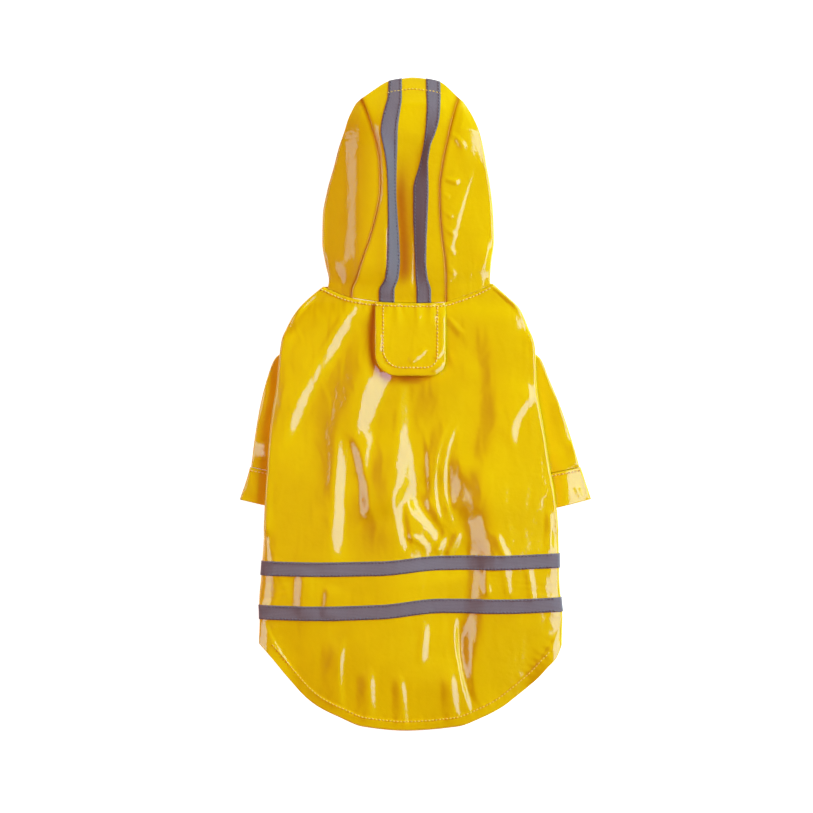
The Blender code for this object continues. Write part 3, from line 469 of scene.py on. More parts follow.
upper_bottom = [Line(row.across, row.y - TAPE_WIDTH) for row in UPPER_TAPE_TOP]
lower_bottom = [Line(row.across, row.y - TAPE_WIDTH) for row in LOWER_TAPE_TOP]
GUIDES = [NECK_LINE, UPPER_TAPE_TOP, upper_bottom, LOWER_TAPE_TOP, lower_bottom, HEM_LINE]
side_columns = SIDE_WIDTH * np.linspace(0.0, 1.0, 25) ** 1.5 / FLAT_WIDTH
middle_columns = np.linspace(side_columns[-1], 1.0 - side_columns[-1], 128)
across_columns = np.concatenate([side_columns[:-1], middle_columns, 1.0 - side_columns[-2::-1]])
under_shares = np.linspace(1.0, 0.0, 8)
turn_angles = np.radians(np.linspace(15.0, 75.0, 5))


def back_rows(levels, across=across_columns):
    """Rows of the back, from the left side seam under and round the fold to the right one.

    A level counts the guide lines passed from the neck seam (0) to the hem (5). On top the
    height comes from back_height, at the folds a quarter circle, and underneath it is level.
    """
    levels = np.asarray(levels, dtype=float)
    guides = np.stack([follow(line, "y", across, key="across") for line in GUIDES])
    i = np.clip(levels.astype(int), 0, len(GUIDES) - 2)
    t = (levels - i)[:, None]
    y = guides[i] * (1.0 - t) + guides[i + 1] * t
    under_rise = UNDER_HEM_RISE * np.clip(levels - 4.0, 0.0, 1.0)[:, None]
    over_tapes = smooth(0.93, 1.0, levels) - smooth(2.0, 2.25, levels) + smooth(2.75, 3.0, levels)
    room = TAPE_ROOM * over_tapes[:, None]
    left = follow(BODY, "fold_left", y[:, :1])
    right = follow(BODY, "fold_right", y[:, -1:])
    x = left + across * (right - left)
    top = np.stack([x, y, back_height(x, y, room)], axis=2)
    ends = []
    for side, fold, y_fold, inward in (("left", left, y[:, :1], 1.0), ("right", right, y[:, -1:], -1.0)):
        under_y = y_fold + under_rise * under_shares
        seam = straight(BODY, "seam_" + side, under_y)
        turn_start = fold + inward * FOLD_RADIUS
        under_x = turn_start + (seam - turn_start) * under_shares
        under_z = over_sleeve(under_x, under_y, side) + room
        turn_x = fold + inward * FOLD_RADIUS * (1.0 - np.sin(turn_angles))
        turn_y = y_fold + 0.0 * turn_x
        turn_z = over_sleeve(turn_x, turn_y, side) + room + FOLD_RADIUS * (1.0 - np.cos(turn_angles))
        ends.append(np.concatenate([np.stack([under_x, under_y, under_z], axis=2),
                                    np.stack([turn_x, turn_y, turn_z], axis=2)], axis=1))
    return np.concatenate([ends[0], top, ends[1][:, ::-1]], axis=1)


def add_mesh(name, points, faces, finish):
    """An object from points in millimetres and faces, riding on the coat's one body."""
    mesh = bpy.data.meshes.new(name)
    mesh.from_pydata(points.reshape(-1, 3) * MM, [], faces)
    mesh.materials.append(finish)
    mesh.shade_smooth()
    thing = bpy.data.objects.new(name, mesh)
    bpy.context.scene.collection.objects.link(thing)
    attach(thing, "root")
    return thing


def new_piece(name, points, finish, wall, round_and_round=False, strip=None):
    """A shell from a grid of points on its outer face, rows by columns, walled by Solidify.

    Rows run down the piece and columns from left to right, seen from outside. strip, where it
    is given, is the place along and across the piece that its weave follows.
    """
    rows, columns = points.shape[:2]
    index = np.arange(rows * columns).reshape(rows, columns)
    if round_and_round:
        index = np.concatenate([index, index[:, :1]], axis=1)
    corners = [index[:-1, :-1], index[1:, :-1], index[1:, 1:], index[:-1, 1:]]
    faces = np.stack(corners, axis=-1).reshape(-1, 4)
    piece = add_mesh(name, points, faces, finish)
    if strip is not None:
        layer = piece.data.uv_layers.new(name="along_and_across")
        layer.data.foreach_set("uv", strip.reshape(-1, 2)[faces.ravel()].ravel())
    thickness = piece.modifiers.new("wall", "SOLIDIFY")
    thickness.thickness = wall * MM
    thickness.offset = -1.0
    return piece


def paint_shade(piece, painted_shade):
    """Mark how much painted shade each point of a piece takes, from 0 to 1, for the finish to use."""
    layer = piece.data.attributes.new("painted_shade", "FLOAT", "POINT")
    layer.data.foreach_set("value", painted_shade.ravel())


# The coating's dents, its crinkle and the weave's grain: each adds to the one before it.
Relief = namedtuple("Relief", "scale roughness strength depth")
RELIEF = [Relief(160.0, 0.5, 0.2, 0.0004), Relief(420.0, 0.5, 0.3, 0.0004),
          Relief(1700.0, 0.6, 0.25, 0.00005)]


def coated_cloth():
    """Yellow polyurethane on a plain weave: a clear gloss over colour that drifts a little.

    Where painted shade is marked the colour is deeper, the gloss duller and its reflection dimmed. The weave
    shows through the coating as a faint grain, with soft dents and a finer crinkle over it.
    """
    finish, tree, shader = new_finish("wet_cloth", Roughness=0.3, Specular_IOR_Level=0.03, Coat_Weight=1.0,
                                      Coat_IOR=1.5)
    place = add_node(tree, "TexCoord").outputs["Object"]
    drift = add_node(tree, "TexNoise", {"Vector": place, "Scale": 26.0, "Detail": 3.0, "Roughness": 0.55})
    colour = colour_ramp(tree, drift.outputs["Fac"], (0.76, 0.475, 0.0), (0.84, 0.56, 0.0), 0.3, 0.7)
    painted_shade = add_node(tree, "Attribute", attribute_name="painted_shade").outputs["Fac"]
    # painted shade: the colour is mixed towards this dark orange as far as the painted_shade attribute says
    painted_shade_mix = add_node(tree, "Mix", {"Factor": painted_shade, "A": colour, "B": (0.52, 0.17, 0.0, 1.0)},
                      data_type="RGBA")
    tree.links.new(painted_shade_mix.outputs["Result"], shader.inputs["Base Color"])
    duller = add_node(tree, "Math", {0: painted_shade, 1: 0.13, 2: 0.035}, operation="MULTIPLY_ADD")
    tree.links.new(duller.outputs["Value"], shader.inputs["Coat Roughness"])
    # painted shade on the gloss: the coat's reflection is dimmed where painted shade is marked
    shade_dimmed_gloss = add_node(tree, "Math", {0: painted_shade, 1: -0.8, 2: 1.0}, operation="MULTIPLY_ADD")
    tree.links.new(shade_dimmed_gloss.outputs["Value"], shader.inputs["Coat Weight"])
    relief = {}
    for scale, roughness, strength, depth in RELIEF:
        noise = add_node(tree, "TexNoise", {"Vector": place, "Scale": scale, "Detail": 2.0,
                                            "Roughness": roughness})
        bump = add_node(tree, "Bump", {"Height": noise.outputs["Fac"], "Strength": strength,
                                       "Distance": depth, **relief})
        relief = {"Normal": bump.outputs["Normal"]}
    tree.links.new(relief["Normal"], shader.inputs["Normal"])
    tree.links.new(relief["Normal"], shader.inputs["Coat Normal"])
    return finish


wet_cloth = coated_cloth()
back_levels = np.concatenate([np.linspace(0.0, 1.0, 146)[:-1] ** 1.02, np.linspace(1.0, 2.0, 10)[:-1],
                              np.linspace(2.0, 3.0, 18)[:-1], np.linspace(3.0, 4.0, 10)[:-1],
                              np.linspace(4.0, 5.0, 58)])
back_points = back_rows(back_levels)
back = new_piece("back", back_points, wet_cloth, CLOTH)
x, y, z = back_points[..., 0], back_points[..., 1], back_points[..., 2]
# Painted shade on the back: darker on flanks that face away from the key light, and a painted shadow beside
# and below the leash flap.
beside_flap = (fade(x - BESIDE_FLAP_X - 0.10 * np.abs(y - 40.0), 2.2)
               * smooth(14.0, 26.0, y) * smooth(68.0, 60.0, y))
below_flap = fade(y - BELOW_FLAP_Y, 3.0) * smooth(-13.0, -7.0, x) * smooth(7.0, 0.0, x)
step = np.gradient(x, axis=1)
lean = np.where(step > LEAST_STEP, np.gradient(z, axis=1) / np.maximum(step, LEAST_STEP), 0.0)
away_from_light = (LEAN_SHADE * smooth(0.05, 0.25, lean) * (1.0 - 0.6 * smooth(0.27, 0.34, lean))
                   * (x > -94.0) * (x < 90.0))
flap_shade = FLAP_SHADE * np.maximum(beside_flap, BELOW_FLAP_SHARE * below_flap)
paint_shade(back, np.maximum(away_from_light, flap_shade))
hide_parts("back_panel")


# ================================================================ tapes across the back
# Two strips of grey reflective tape, 10 mm wide, sewn across the tail and round both sides to
# the belly's seams. Glass beads on a woven backing give them their dull, faintly ribbed face.

TAPE = 0.45
TAPE_LIFT = 0.1


def moved_out(points, distance):
    """A grid of points moved along the surface's normals, which are worked out from the grid."""
    normal = np.cross(np.gradient(points, axis=0), np.gradient(points, axis=1))
    normal /= np.linalg.norm(normal, axis=2, keepdims=True)
    return points + normal * distance


def along_and_across(points):
    """Distance along each column and across each row of a grid, in centimetres."""
    along = np.linalg.norm(np.diff(points, axis=1), axis=2).cumsum(axis=1)
    across = np.linalg.norm(np.diff(points, axis=0), axis=2).cumsum(axis=0)
    along = np.pad(along, ((0, 0), (1, 0)))
    across = np.pad(across, ((1, 0), (0, 0)))
    return np.stack([along, across], axis=2) * 0.1


def tape_finish():
    """Bead-coated tape: dull purple grey, with fine ribs along it and threads across it."""
    finish, tree, shader = new_finish("reflective_tape", Roughness=0.6, Specular_IOR_Level=0.1)
    place = add_node(tree, "UVMap", uv_map="along_and_across").outputs["UV"]
    ribs = add_node(tree, "TexWave", {"Vector": place, "Scale": 3.4, "Distortion": 0.6, "Detail": 1.0},
                    bands_direction="Y")
    threads = add_node(tree, "TexWave", {"Vector": place, "Scale": 6.5, "Distortion": 1.0, "Detail": 1.0},
                       bands_direction="X")
    specks = add_node(tree, "TexNoise", {"Vector": place, "Scale": 22.0, "Detail": 2.0, "Roughness": 0.7})
    weave = add_node(tree, "Math", {0: ribs.outputs["Fac"], 1: threads.outputs["Fac"]}, operation="MULTIPLY")
    mixed = add_node(tree, "Math", {0: weave.outputs["Value"], 1: specks.outputs["Fac"]}, operation="ADD")
    colour = colour_ramp(tree, mixed.outputs["Value"], (0.138, 0.112, 0.146), (0.226, 0.186, 0.232),
                         0.3, 1.1 / 1.2)
    tree.links.new(colour, shader.inputs["Base Color"])
    bump = add_node(tree, "Bump", {"Height": mixed.outputs["Value"], "Strength": 0.4, "Distance": 0.0001})
    tree.links.new(bump.outputs["Normal"], shader.inputs["Normal"])
    return finish


reflective = tape_finish()
BACK_TAPES = {"upper": 1.0, "lower": 3.0}       # each tape's upper edge among the guide lines
for name, start in BACK_TAPES.items():
    strip = back_rows(np.linspace(start, start + 1.0, 12))
    tape = new_piece("tape_" + name, moved_out(strip, TAPE_LIFT + TAPE), reflective, TAPE,
                     strip=along_and_across(strip))
    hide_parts("back_tape_" + name)


# ================================================================ belly panel
# The narrower panel under the dog: scooped at the neck, arched at the tail. It lies flat on the
# table and is sewn to the back along both sides.

BELLY_HEM_ARCH, BELLY_NECK_SCOOP = 12.0, 16.0
SEAM_GAP = 0.3


def belly_points():
    """The belly between the back's two seam edges, its two ends curved by a parabola across."""
    columns = np.linspace(0.0, 1.0, 61)
    arch = 4.0 * columns * (1.0 - columns)
    edges = back_rows(np.concatenate([np.linspace(0.0, 4.0, 120), [5.0]]))
    left, right = edges[:, :1], edges[:, -1:]
    clear = SEAM_GAP + 1.4 * np.minimum(np.maximum(left[..., 2], right[..., 2]), CLOTH)
    x = left[..., 0] + clear + (right[..., 0] - left[..., 0] - 2.0 * clear) * columns
    y = left[..., 1] + (right[..., 1] - left[..., 1]) * columns
    y = (y - BELLY_NECK_SCOOP * arch * smooth(20.0, 76.0, y)
         + BELLY_HEM_ARCH * arch * smooth(-80.0, -147.0, y))
    return np.stack([x, y, np.zeros_like(y)], axis=2)


belly = new_piece("belly", belly_points()[:, ::-1], wet_cloth, CLOTH)
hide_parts("belly_panel")


# ================================================================ sleeves and cuffs
# Short set-in sleeves lying flat beside and under the body, each with a turned cuff that is sewn
# on by a seam and a row of stitches.

CUFF_STEP = 0.6
EDGE_REACH = 0.45         # a flattened tube's edges are this share as deep as they are high
SLEEVE_CREASES = {
    "left": [Crease(-97.0, 24.0, -99.0, -14.0, 1.0, 5.0, 6.0, 1.0, 0.6),
             Crease(-96.0, -22.0, -94.0, -37.0, 0.0, 13.0, 6.0, 1.0, 2.4),
             Crease(-108.0, -42.0, -106.0, -62.0, 0.0, 5.0, 4.0, 1.2, 0.5)],
    "right": [Crease(90.0, 10.0, 97.0, -30.0, 1.0, 6.0, 6.0, 1.0, 0.5),
              Crease(95.0, -26.0, 99.0, -86.0, 0.0, 12.0, 15.0, 1.1, 2.6),
              Crease(104.0, -52.0, 108.0, -62.0, 0.0, 3.0, 3.0, 1.0, 0.5),
              Crease(104.5, -22.0, 106.0, -43.0, 0.0, 10.0, 5.0, 1.0, 1.9)],
}


def tube_points(side, stations, grow):
    """Rings of a flattened tube: level below and above, with rounded edges, wider by grow."""
    rows = SLEEVES[side]
    outer, inner = (np.stack([follow(rows, edge + "_x", stations, key="along"),
                              follow(rows, edge + "_y", stations, key="along")], axis=1)[:, None]
                    for edge in ("outer", "inner"))
    length = np.linalg.norm(outer - inner, axis=2)
    radius = 0.5 * SLEEVE_DEPTH
    flat = np.linspace(0.0, 1.0, 34)
    turn = np.radians(np.linspace(15.0, 165.0, 11))
    deep = EDGE_REACH * radius
    level = deep + (length - 2.0 * deep) * flat
    reach = np.concatenate([level, length - deep + deep * np.sin(turn), level[:, ::-1],
                            deep - deep * np.sin(turn) + 0.0 * length], axis=1)
    height = np.concatenate([0.0 * flat, radius - radius * np.cos(turn), 0.0 * flat + SLEEVE_DEPTH,
                             radius + radius * np.cos(turn)])
    reach = 0.5 * length + (reach - 0.5 * length) * (1.0 + 2.0 * grow / length)
    flat_place = inner + reach[..., None] * (outer - inner) / length[..., None]
    x, y = flat_place[..., 0], flat_place[..., 1]
    top = smooth(0.6, 1.0, height / SLEEVE_DEPTH)
    z = height + 0.0 * x + top * (crease_heights(x, y, SLEEVE_CREASES[side]) + 0.5 * unevenness(x, y))
    points = np.stack([x, y, z], axis=2)
    return points if side == "left" else points[:, ::-1]


for side in SLEEVES:
    rings = tube_points(side, np.linspace(0.0, 0.996, 90), 0.0)
    sleeve = new_piece(side + "_sleeve", rings, wet_cloth, CLOTH, round_and_round=True)
    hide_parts("sleeve_" + side)
    rings = tube_points(side, np.linspace(1.004, 2.0, 34), CUFF_STEP)
    cuff = new_piece(side + "_cuff", rings, wet_cloth, CLOTH, round_and_round=True)
    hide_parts("cuff_" + side)


# ================================================================ hood
# Three panels: a centre one from brow to neck that sinks into a valley between its two tapes,
# and a side panel each way, which turns under to the face opening's edge.

Hood = namedtuple("Hood", "y fold_left seam_left tape_a tape_b valley tape_c tape_d seam_right fold_right")
HOOD = [
    Hood(64.0, -59.1, -42.5, -23.7, -13.7, -6.8, 0.7, 10.1, 20.0, 49.1),
    Hood(73.5, -57.8, -41.9, -23.7, -13.7, -6.8, 0.7, 10.1, 19.8, 49.1),
    Hood(81.9, -56.4, -38.7, -19.8, -11.1, -4.5, 0.2, 7.9, 19.8, 48.6),
    Hood(92.3, -58.8, -35.4, -18.7, -10.2, -4.2, -0.1, 6.9, 19.2, 49.6),
    Hood(106.6, -61.1, -30.2, -18.2, -10.7, -5.0, -0.7, 7.2, 17.4, 51.5),
    Hood(122.9, -60.8, -25.6, -17.9, -11.9, -6.4, -1.3, 7.9, 16.0, 51.0),
    Hood(139.1, -57.9, -22.9, -18.1, -12.7, -7.4, -1.3, 8.4, 15.6, 49.4),
    Hood(155.3, -53.3, -23.2, -19.0, -12.3, -4.8, 2.6, 8.2, 17.6, 46.5),
    Hood(166.4, -50.4, -25.0, -20.8, -11.9, -1.0, 5.0, 9.6, 19.8, 44.5),
    Hood(176.8, -46.8, -27.8, -22.6, -11.6, -1.2, 6.4, 13.3, 22.1, 41.9),
    Hood(185.9, -43.9, -30.6, -21.4, -10.6, -2.0, 7.0, 15.6, 24.4, 38.0),
    Hood(193.1, -40.4, -33.2, -19.6, -9.5, -2.3, 7.3, 16.0, 26.2, 33.8),
    Hood(198.9, -37.6, -35.2, -18.1, -8.9, -2.3, 7.2, 16.2, 27.8, 30.6),
    Hood(206.0, -37.6, -35.2, -17.6, -8.9, -2.0, 7.0, 16.2, 27.8, 30.6),
    Hood(213.2, -37.6, -35.2, -17.4, -8.9, -2.0, 7.0, 16.0, 27.8, 30.6),
]
Height = namedtuple("Height", "y seam_left tape_a tape_b valley tape_c tape_d seam_right")
HOOD_HEIGHT = [
    Height(64.0, 9.5, 10.0, 9.6, 9.5, 9.6, 10.2, 9.5),
    Height(73.5, 9.8, 10.8, 9.2, 9.4, 9.6, 10.8, 9.8),
    Height(81.9, 11.9, 13.0, 8.2, 8.8, 9.4, 11.9, 11.6),
    Height(92.3, 13.2, 14.4, 7.7, 8.2, 8.9, 12.6, 12.6),
    Height(106.6, 14.0, 15.0, 7.5, 8.0, 8.7, 13.0, 13.0),
    Height(122.9, 14.4, 15.3, 7.5, 8.0, 8.8, 13.3, 13.2),
    Height(139.1, 14.6, 15.4, 7.7, 8.3, 9.2, 13.6, 13.3),
    Height(155.3, 14.6, 15.2, 9.0, 9.2, 9.7, 13.9, 13.5),
    Height(166.4, 14.2, 15.0, 11.0, 10.4, 10.3, 13.9, 13.3),
    Height(176.8, 13.0, 14.3, 12.8, 12.0, 11.6, 13.4, 12.9),
    Height(185.9, 11.2, 12.9, 12.6, 12.1, 11.9, 12.2, 11.3),
    Height(193.1, 8.9, 11.0, 11.6, 11.8, 11.6, 10.8, 9.1),
    Height(198.9, 6.6, 8.8, 9.4, 9.6, 9.4, 8.6, 6.4),
    Height(206.0, 4.5, 5.4, 6.0, 6.2, 6.0, 5.4, 4.5),
    Height(213.2, 4.0, 2.2, 2.2, 2.2, 2.2, 2.2, 4.0),
]
Brim = namedtuple("Brim", "line y")
BRIM = [Brim("seam_left", 198.9), Brim("tape_a", 210.6), Brim("tape_b", 212.3), Brim("valley", 213.2),
        Brim("tape_c", 212.2), Brim("tape_d", 210.0), Brim("seam_right", 199.6)]
Opening = namedtuple("Opening", "y left right")
FACE_OPENING = [Opening(74.0, -52.0, 43.0), Opening(100.0, -43.0, 34.0), Opening(135.0, -38.0, 29.0),
                Opening(170.0, -35.0, 27.0), Opening(190.0, -33.5, 27.0), Opening(200.0, -33.0, 27.0)]
HOOD_LINES = ["seam_left", "tape_a", "tape_b", "valley", "tape_c", "tape_d", "seam_right"]
HOOD_TIP = 3.0
HOOD_BLEND = 11.0         # the hood's height joins the back's over this length above the neck
SEAM_DIP = 0.18           # the panel on a hood seam's right dips this much into it
FAR_DIP = 0.2             # and the panel on its left this share of that
# painted shade: SEAM_SHADE darkens the cloth along each hood seam over SEAM_REACH, which is also the seam
# dip's reach
SEAM_REACH, SEAM_SHADE = 1.5, 0.95
# painted shade: the valley between the hood's tapes is painted darker, as shadow falls in it
VALLEY_BESIDE, VALLEY_WIDTH = 3.0, 5.4    # the valley is deeper in colour here
CENTRE_CREASES = [Crease(-2.6, 116.0, -3.2, 70.0, 0.0, 9.0, 2.4, 1.0, 0.7),
                  Crease(-19.6, 124.0, -19.4, 76.0, 0.0, 6.0, 1.8, 1.0, 0.45)]
HOOD_CREASES = [
    Crease(39.0, 160.0, 15.5, 69.0, -1.5, 14.0, 2.8, 1.0, 0.5),
    Crease(23.0, 208.0, 33.0, 150.0, 3.0, 10.0, 15.0, 1.0, 1.1),
    Crease(18.0, 146.0, 29.0, 143.5, 0.0, 3.0, 3.0, 1.0, 0.8),
    Crease(17.0, 178.0, 33.0, 164.0, 2.0, 4.0, 3.0, 1.0, 0.7),
    Crease(29.0, 88.0, 29.0, 70.0, 0.0, 3.0, 3.0, 1.0, 0.08),
    Crease(34.0, 90.0, 34.0, 72.0, 0.0, 3.0, 3.0, 1.0, 0.04),
    Crease(-48.0, 96.0, -42.0, 72.0, 0.0, 6.0, 8.0, 1.0, 0.8),
    Crease(52.0, 108.0, 47.0, 66.0, 0.0, 24.0, 8.0, 1.0, 1.5),
    Crease(15.5, 137.0, 22.5, 133.0, 0.0, 2.5, 3.0, 1.0, 0.45),
    Crease(16.0, 126.0, 25.0, 120.0, 0.0, 2.5, 3.0, 1.0, 0.5),
    Crease(17.0, 115.0, 27.0, 108.0, 0.0, 2.5, 3.0, 1.0, 0.5),
    Crease(18.5, 104.0, 26.0, 96.0, 0.0, 2.5, 3.0, 1.0, 0.45),
    Crease(19.0, 92.0, 26.0, 82.0, 0.0, 3.0, 3.0, 1.0, 0.45),
]


def hood_line(name, climb):
    """Points of one line of the hood, from the neck seam (climb = 0) to the brim (climb = 1)."""
    brim = {row.line: row.y for row in BRIM}[name]
    start = NECK_LINE[4].y
    for _ in range(4):          # the neck seam's height and the line's place there, found together
        start = float(neck_y(float(follow(HOOD, name, start))))
    y = start + (brim - start) * climb
    return np.stack([follow(HOOD, name, y), y, follow(HOOD_HEIGHT, name, y)], axis=1)


def meet_back(points):
    """Bring the lowest rows to the back panel's height, so the neck seam is level across."""
    base = back_height(points[..., 0], np.minimum(points[..., 1], BODY[0].y))
    above = np.maximum(points[..., 1] - neck_y(points[..., 0]), 0.0)
    points[..., 2] += (base - points[..., 2]) * fade(above, HOOD_BLEND)
    return points


def across_lines(lines, at):
    """Smooth rows through the hood's lines, which lie at the whole numbers across."""
    lines = lines.swapaxes(0, 1)
    slope = even_slopes(np.diff(lines, axis=0))
    i = np.clip(at.astype(int), 0, len(lines) - 2)
    t = (at - i)[:, None, None]
    return cubic(t, lines[i], slope[i], lines[i + 1], slope[i + 1]).swapaxes(0, 1)


climb = 1.0 - np.linspace(0.0, 1.0, 181)
hood_lines = np.stack([hood_line(name, climb) for name in HOOD_LINES], axis=1)


def centre_points(at):
    """The hood's centre panel at these places across, from the left seam (0) to the right (6)."""
    points = across_lines(hood_lines, at)
    x, y = points[..., 0], points[..., 1]
    dip = SEAM_DIP * (fade(x - hood_lines[:, :1, 0], SEAM_REACH)
                      + FAR_DIP * fade(x - hood_lines[:, -1:, 0], SEAM_REACH))
    points[..., 2] += crease_heights(x, y, CENTRE_CREASES) + 0.35 * unevenness(x, y) - dip
    return meet_back(points)


centre_grid = centre_points(np.linspace(0.0, 6.0, 73))
centre = new_piece("hood_middle", centre_grid, wet_cloth, CLOTH)
x, y = centre_grid[..., 0], centre_grid[..., 1]
# Painted shade on the centre panel: in the valley beside the left tape and along both seams.
from_valley = x - follow(HOOD, "tape_b", y) - VALLEY_BESIDE
in_valley = fade(from_valley, VALLEY_WIDTH) * smooth(72.0, 88.0, y) * smooth(168.0, 132.0, y)
from_seam = np.minimum(x - x[:, :1], x[:, -1:] - x)
paint_shade(centre, np.maximum(in_valley, SEAM_SHADE * fade(from_seam, SEAM_REACH)))
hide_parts("hood_centre")
HOOD_TAPES = {"left": 1.0, "right": 4.0}        # each tape's left edge among the hood's lines
for side, first in HOOD_TAPES.items():
    strip = centre_points(np.linspace(first, first + 1.0, 12))
    tape = new_piece("tape_hood_" + side, moved_out(strip, TAPE_LIFT + TAPE), reflective, TAPE,
                     strip=along_and_across(strip)[..., ::-1])
    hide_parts("hood_tape_" + side)


Side = namedtuple("Side", "across left right")
HOOD_PROFILE = [Side(0.0, 0.0, 0.0), Side(0.01, 0.40, 0.52), Side(0.025, 0.61, 0.77), Side(0.04, 0.66, 0.83),
                Side(0.07, 0.68, 0.85), Side(0.35, 0.78, 0.89), Side(0.7, 0.91, 0.945), Side(1.0, 1.0, 1.0)]
HOOD_STEP = 1.5           # the left panel climbs this much between these two places across
STEP_FROM, STEP_TO = -47.5, -35.6
LEFT_SHADE = 0.45         # the left panel leans away from the light, so it is deeper in colour


def side_points(side):
    """A hood side panel, from its free edge underneath round the fold to its centre seam.

    With it comes how much painted shade each of its points takes.
    """
    inward = 1.0 if side == "left" else -1.0
    seam = hood_lines[:, 0 if side == "left" else -1]
    fold_neck = NECK_LINE[0].y if side == "left" else NECK_LINE[-1].y
    y_fold = (fold_neck + (seam[0, 1] - HOOD_TIP - fold_neck) * climb)[:, None]
    t = np.linspace(0.0, 1.0, 52) ** 1.4
    fold = follow(HOOD, "fold_" + side, y_fold)
    seam_x, seam_y, seam_z = (seam[:, i:i + 1] for i in range(3))
    radius = np.minimum(FOLD_RADIUS, 0.45 * seam_z)
    x = fold + (seam_x - fold) * t
    y = y_fold + (seam_y - y_fold) * t
    y = y + (neck_y(x[-1]) - y[-1]) * (1.0 - climb[:, None]) ** 2
    step = HOOD_STEP if side == "left" else 0.0
    seam_step = step * smooth(STEP_FROM, STEP_TO, seam_x)
    z = radius + (seam_z - radius - seam_step) * follow(HOOD_PROFILE, side, t, key="across")
    z = z + step * smooth(STEP_FROM, STEP_TO, x)
    inset = np.abs(x - fold)
    inner = smooth(0.5, 5.0, inset) * smooth(0.0, 7.0, np.abs(seam_x - x))
    z = z + (crease_heights(x, y, HOOD_CREASES) + 0.5 * unevenness(x, y)) * inner
    z = z - (FAR_DIP if side == "left" else 1.0) * SEAM_DIP * fade(x - seam_x, SEAM_REACH)
    top = meet_back(np.stack([x, y, z], axis=2))
    edge = follow(FACE_OPENING, side, y_fold)
    reach = np.maximum(np.abs(edge - fold), radius + 1.5)
    shares = np.linspace(1.0, 0.0, 8)
    under_x = fold + inward * (radius + (reach - radius) * shares)
    turn_x = fold + inward * radius * (1.0 - np.sin(turn_angles))
    turn_z = radius * (1.0 - np.cos(turn_angles))
    under = np.stack([under_x, y_fold + 0.0 * under_x, 0.0 * under_x], axis=2)
    turn = np.stack([turn_x, y_fold + 0.0 * turn_x, turn_z], axis=2)
    points = np.concatenate([under, turn, top], axis=1)
    x, y = points[..., 0], points[..., 1]
    # painted shade along the seam, and on the left panel painted shade where it leans away from the key
    # light
    painted_shade = SEAM_SHADE * fade(x - seam_x, SEAM_REACH)
    if side == "right":
        return points[:, ::-1], painted_shade[:, ::-1]
    leaning = LEFT_SHADE * smooth(-62.0, -56.0, x) * smooth(-22.0, -40.0, x) * smooth(196.0, 176.0, y)
    return points, np.maximum(painted_shade, leaning)


for side in ("left", "right"):
    points, painted_shade = side_points(side)
    panel = new_piece(side + "_hood_side", points, wet_cloth, CLOTH)
    paint_shade(panel, painted_shade)
    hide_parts("hood_side_" + side)


# ================================================================ leash flap
# A flap of the same cloth sewn into the neck seam over the hole for the leash: gathered at its
# seam, rounded at its lower corners and topstitched round its edge.

FLAP_LEFT, FLAP_RIGHT, FLAP_BOTTOM = -26.3, 19.6, 18.2
FLAP_CORNER_LEFT, FLAP_CORNER_RIGHT = 15.0, 10.5
FLAP_LIFT = 1.3
FLAP_STITCH = 5.4         # from the flap's edge to its row of stitches
PUCKER, PUCKER_REACH = 0.16, 1.3      # the cloth is drawn down this much along those stitches
FLAP_ROUND = 0.35         # its edge curls down this much
FLAP_CURL = 1.1           # but its left side stands up by this
FLAP_CLEAR = 0.3          # the flap stays this much further off the back than a seam's gap
GATHER_WIDTH = 2.9
Gather = namedtuple("Gather", "x length height")
GATHERS = [Gather(-19.0, 15.0, 0.6), Gather(-12.0, 26.0, 0.9), Gather(-5.5, 12.0, 0.4),
           Gather(1.5, 28.0, 0.9), Gather(10.5, 24.0, 0.85), Gather(16.5, 36.0, 0.5)]
FLAP_CREASES = [Crease(8.5, 36.5, -5.5, 26.0, 0.0, 4.0, 3.0, 1.0, 0.8),
                Crease(19.5, 38.0, 12.0, 28.0, 0.0, 3.0, 2.5, 1.0, 0.6),
                Crease(19.0, 27.0, 10.0, 20.0, 0.0, 3.0, 2.5, 1.0, 0.6)]


def flap_bottom(x, inset=0.0):
    """The flap's lower edge, or a line this far inside it: level, with elliptical corners."""
    left = np.maximum(FLAP_CORNER_LEFT - 0.5 * inset, 2.0)
    right = np.maximum(FLAP_CORNER_RIGHT - 0.5 * inset, 2.0)
    return (FLAP_BOTTOM + inset + left * (1.0 - rise(x - FLAP_LEFT - inset, left))
            + right * (1.0 - rise(FLAP_RIGHT - inset - x, right)))


def flap_height(x, y):
    """Outer face of the flap: it lies over the back, lifted below its seam, with gathers."""
    below = neck_y(x) - SEAM_GAP - y
    width = GATHER_WIDTH + 0.05 * below
    gathers = sum(gather.height * fade(x - gather.x, width) * (1.0 - smooth(0.1, 1.0, below / gather.length))
                  for gather in GATHERS)
    inside = np.minimum(np.minimum(x - FLAP_LEFT, FLAP_RIGHT - x), y - flap_bottom(x))
    pucker = PUCKER * fade(inside - FLAP_STITCH, PUCKER_REACH)
    highest = np.maximum(back_height(x, y), back_height(x, y, creased=0.0))
    under = highest + CLOTH + SEAM_GAP + FLAP_CLEAR
    lift = FLAP_LIFT * smooth(0.0, 16.0, below) * (1.0 - 0.5 * smooth(24.0, 48.0, below))
    edge = FLAP_ROUND * (1.0 - rise(inside, 4.0))
    curl = FLAP_CURL * smooth(13.0, 0.0, x - FLAP_LEFT) * smooth(0.0, 14.0, below)
    return under + lift + curl + gathers - pucker - edge + crease_heights(x, y, FLAP_CREASES)


def flap_surface(across, down):
    """The flap at these shares across and down it."""
    x = FLAP_LEFT + (FLAP_RIGHT - FLAP_LEFT) * across
    top_y = neck_y(x) - SEAM_GAP
    y = top_y + (flap_bottom(x) - top_y) * down
    return np.stack([x, y, flap_height(x, y)], axis=-1)


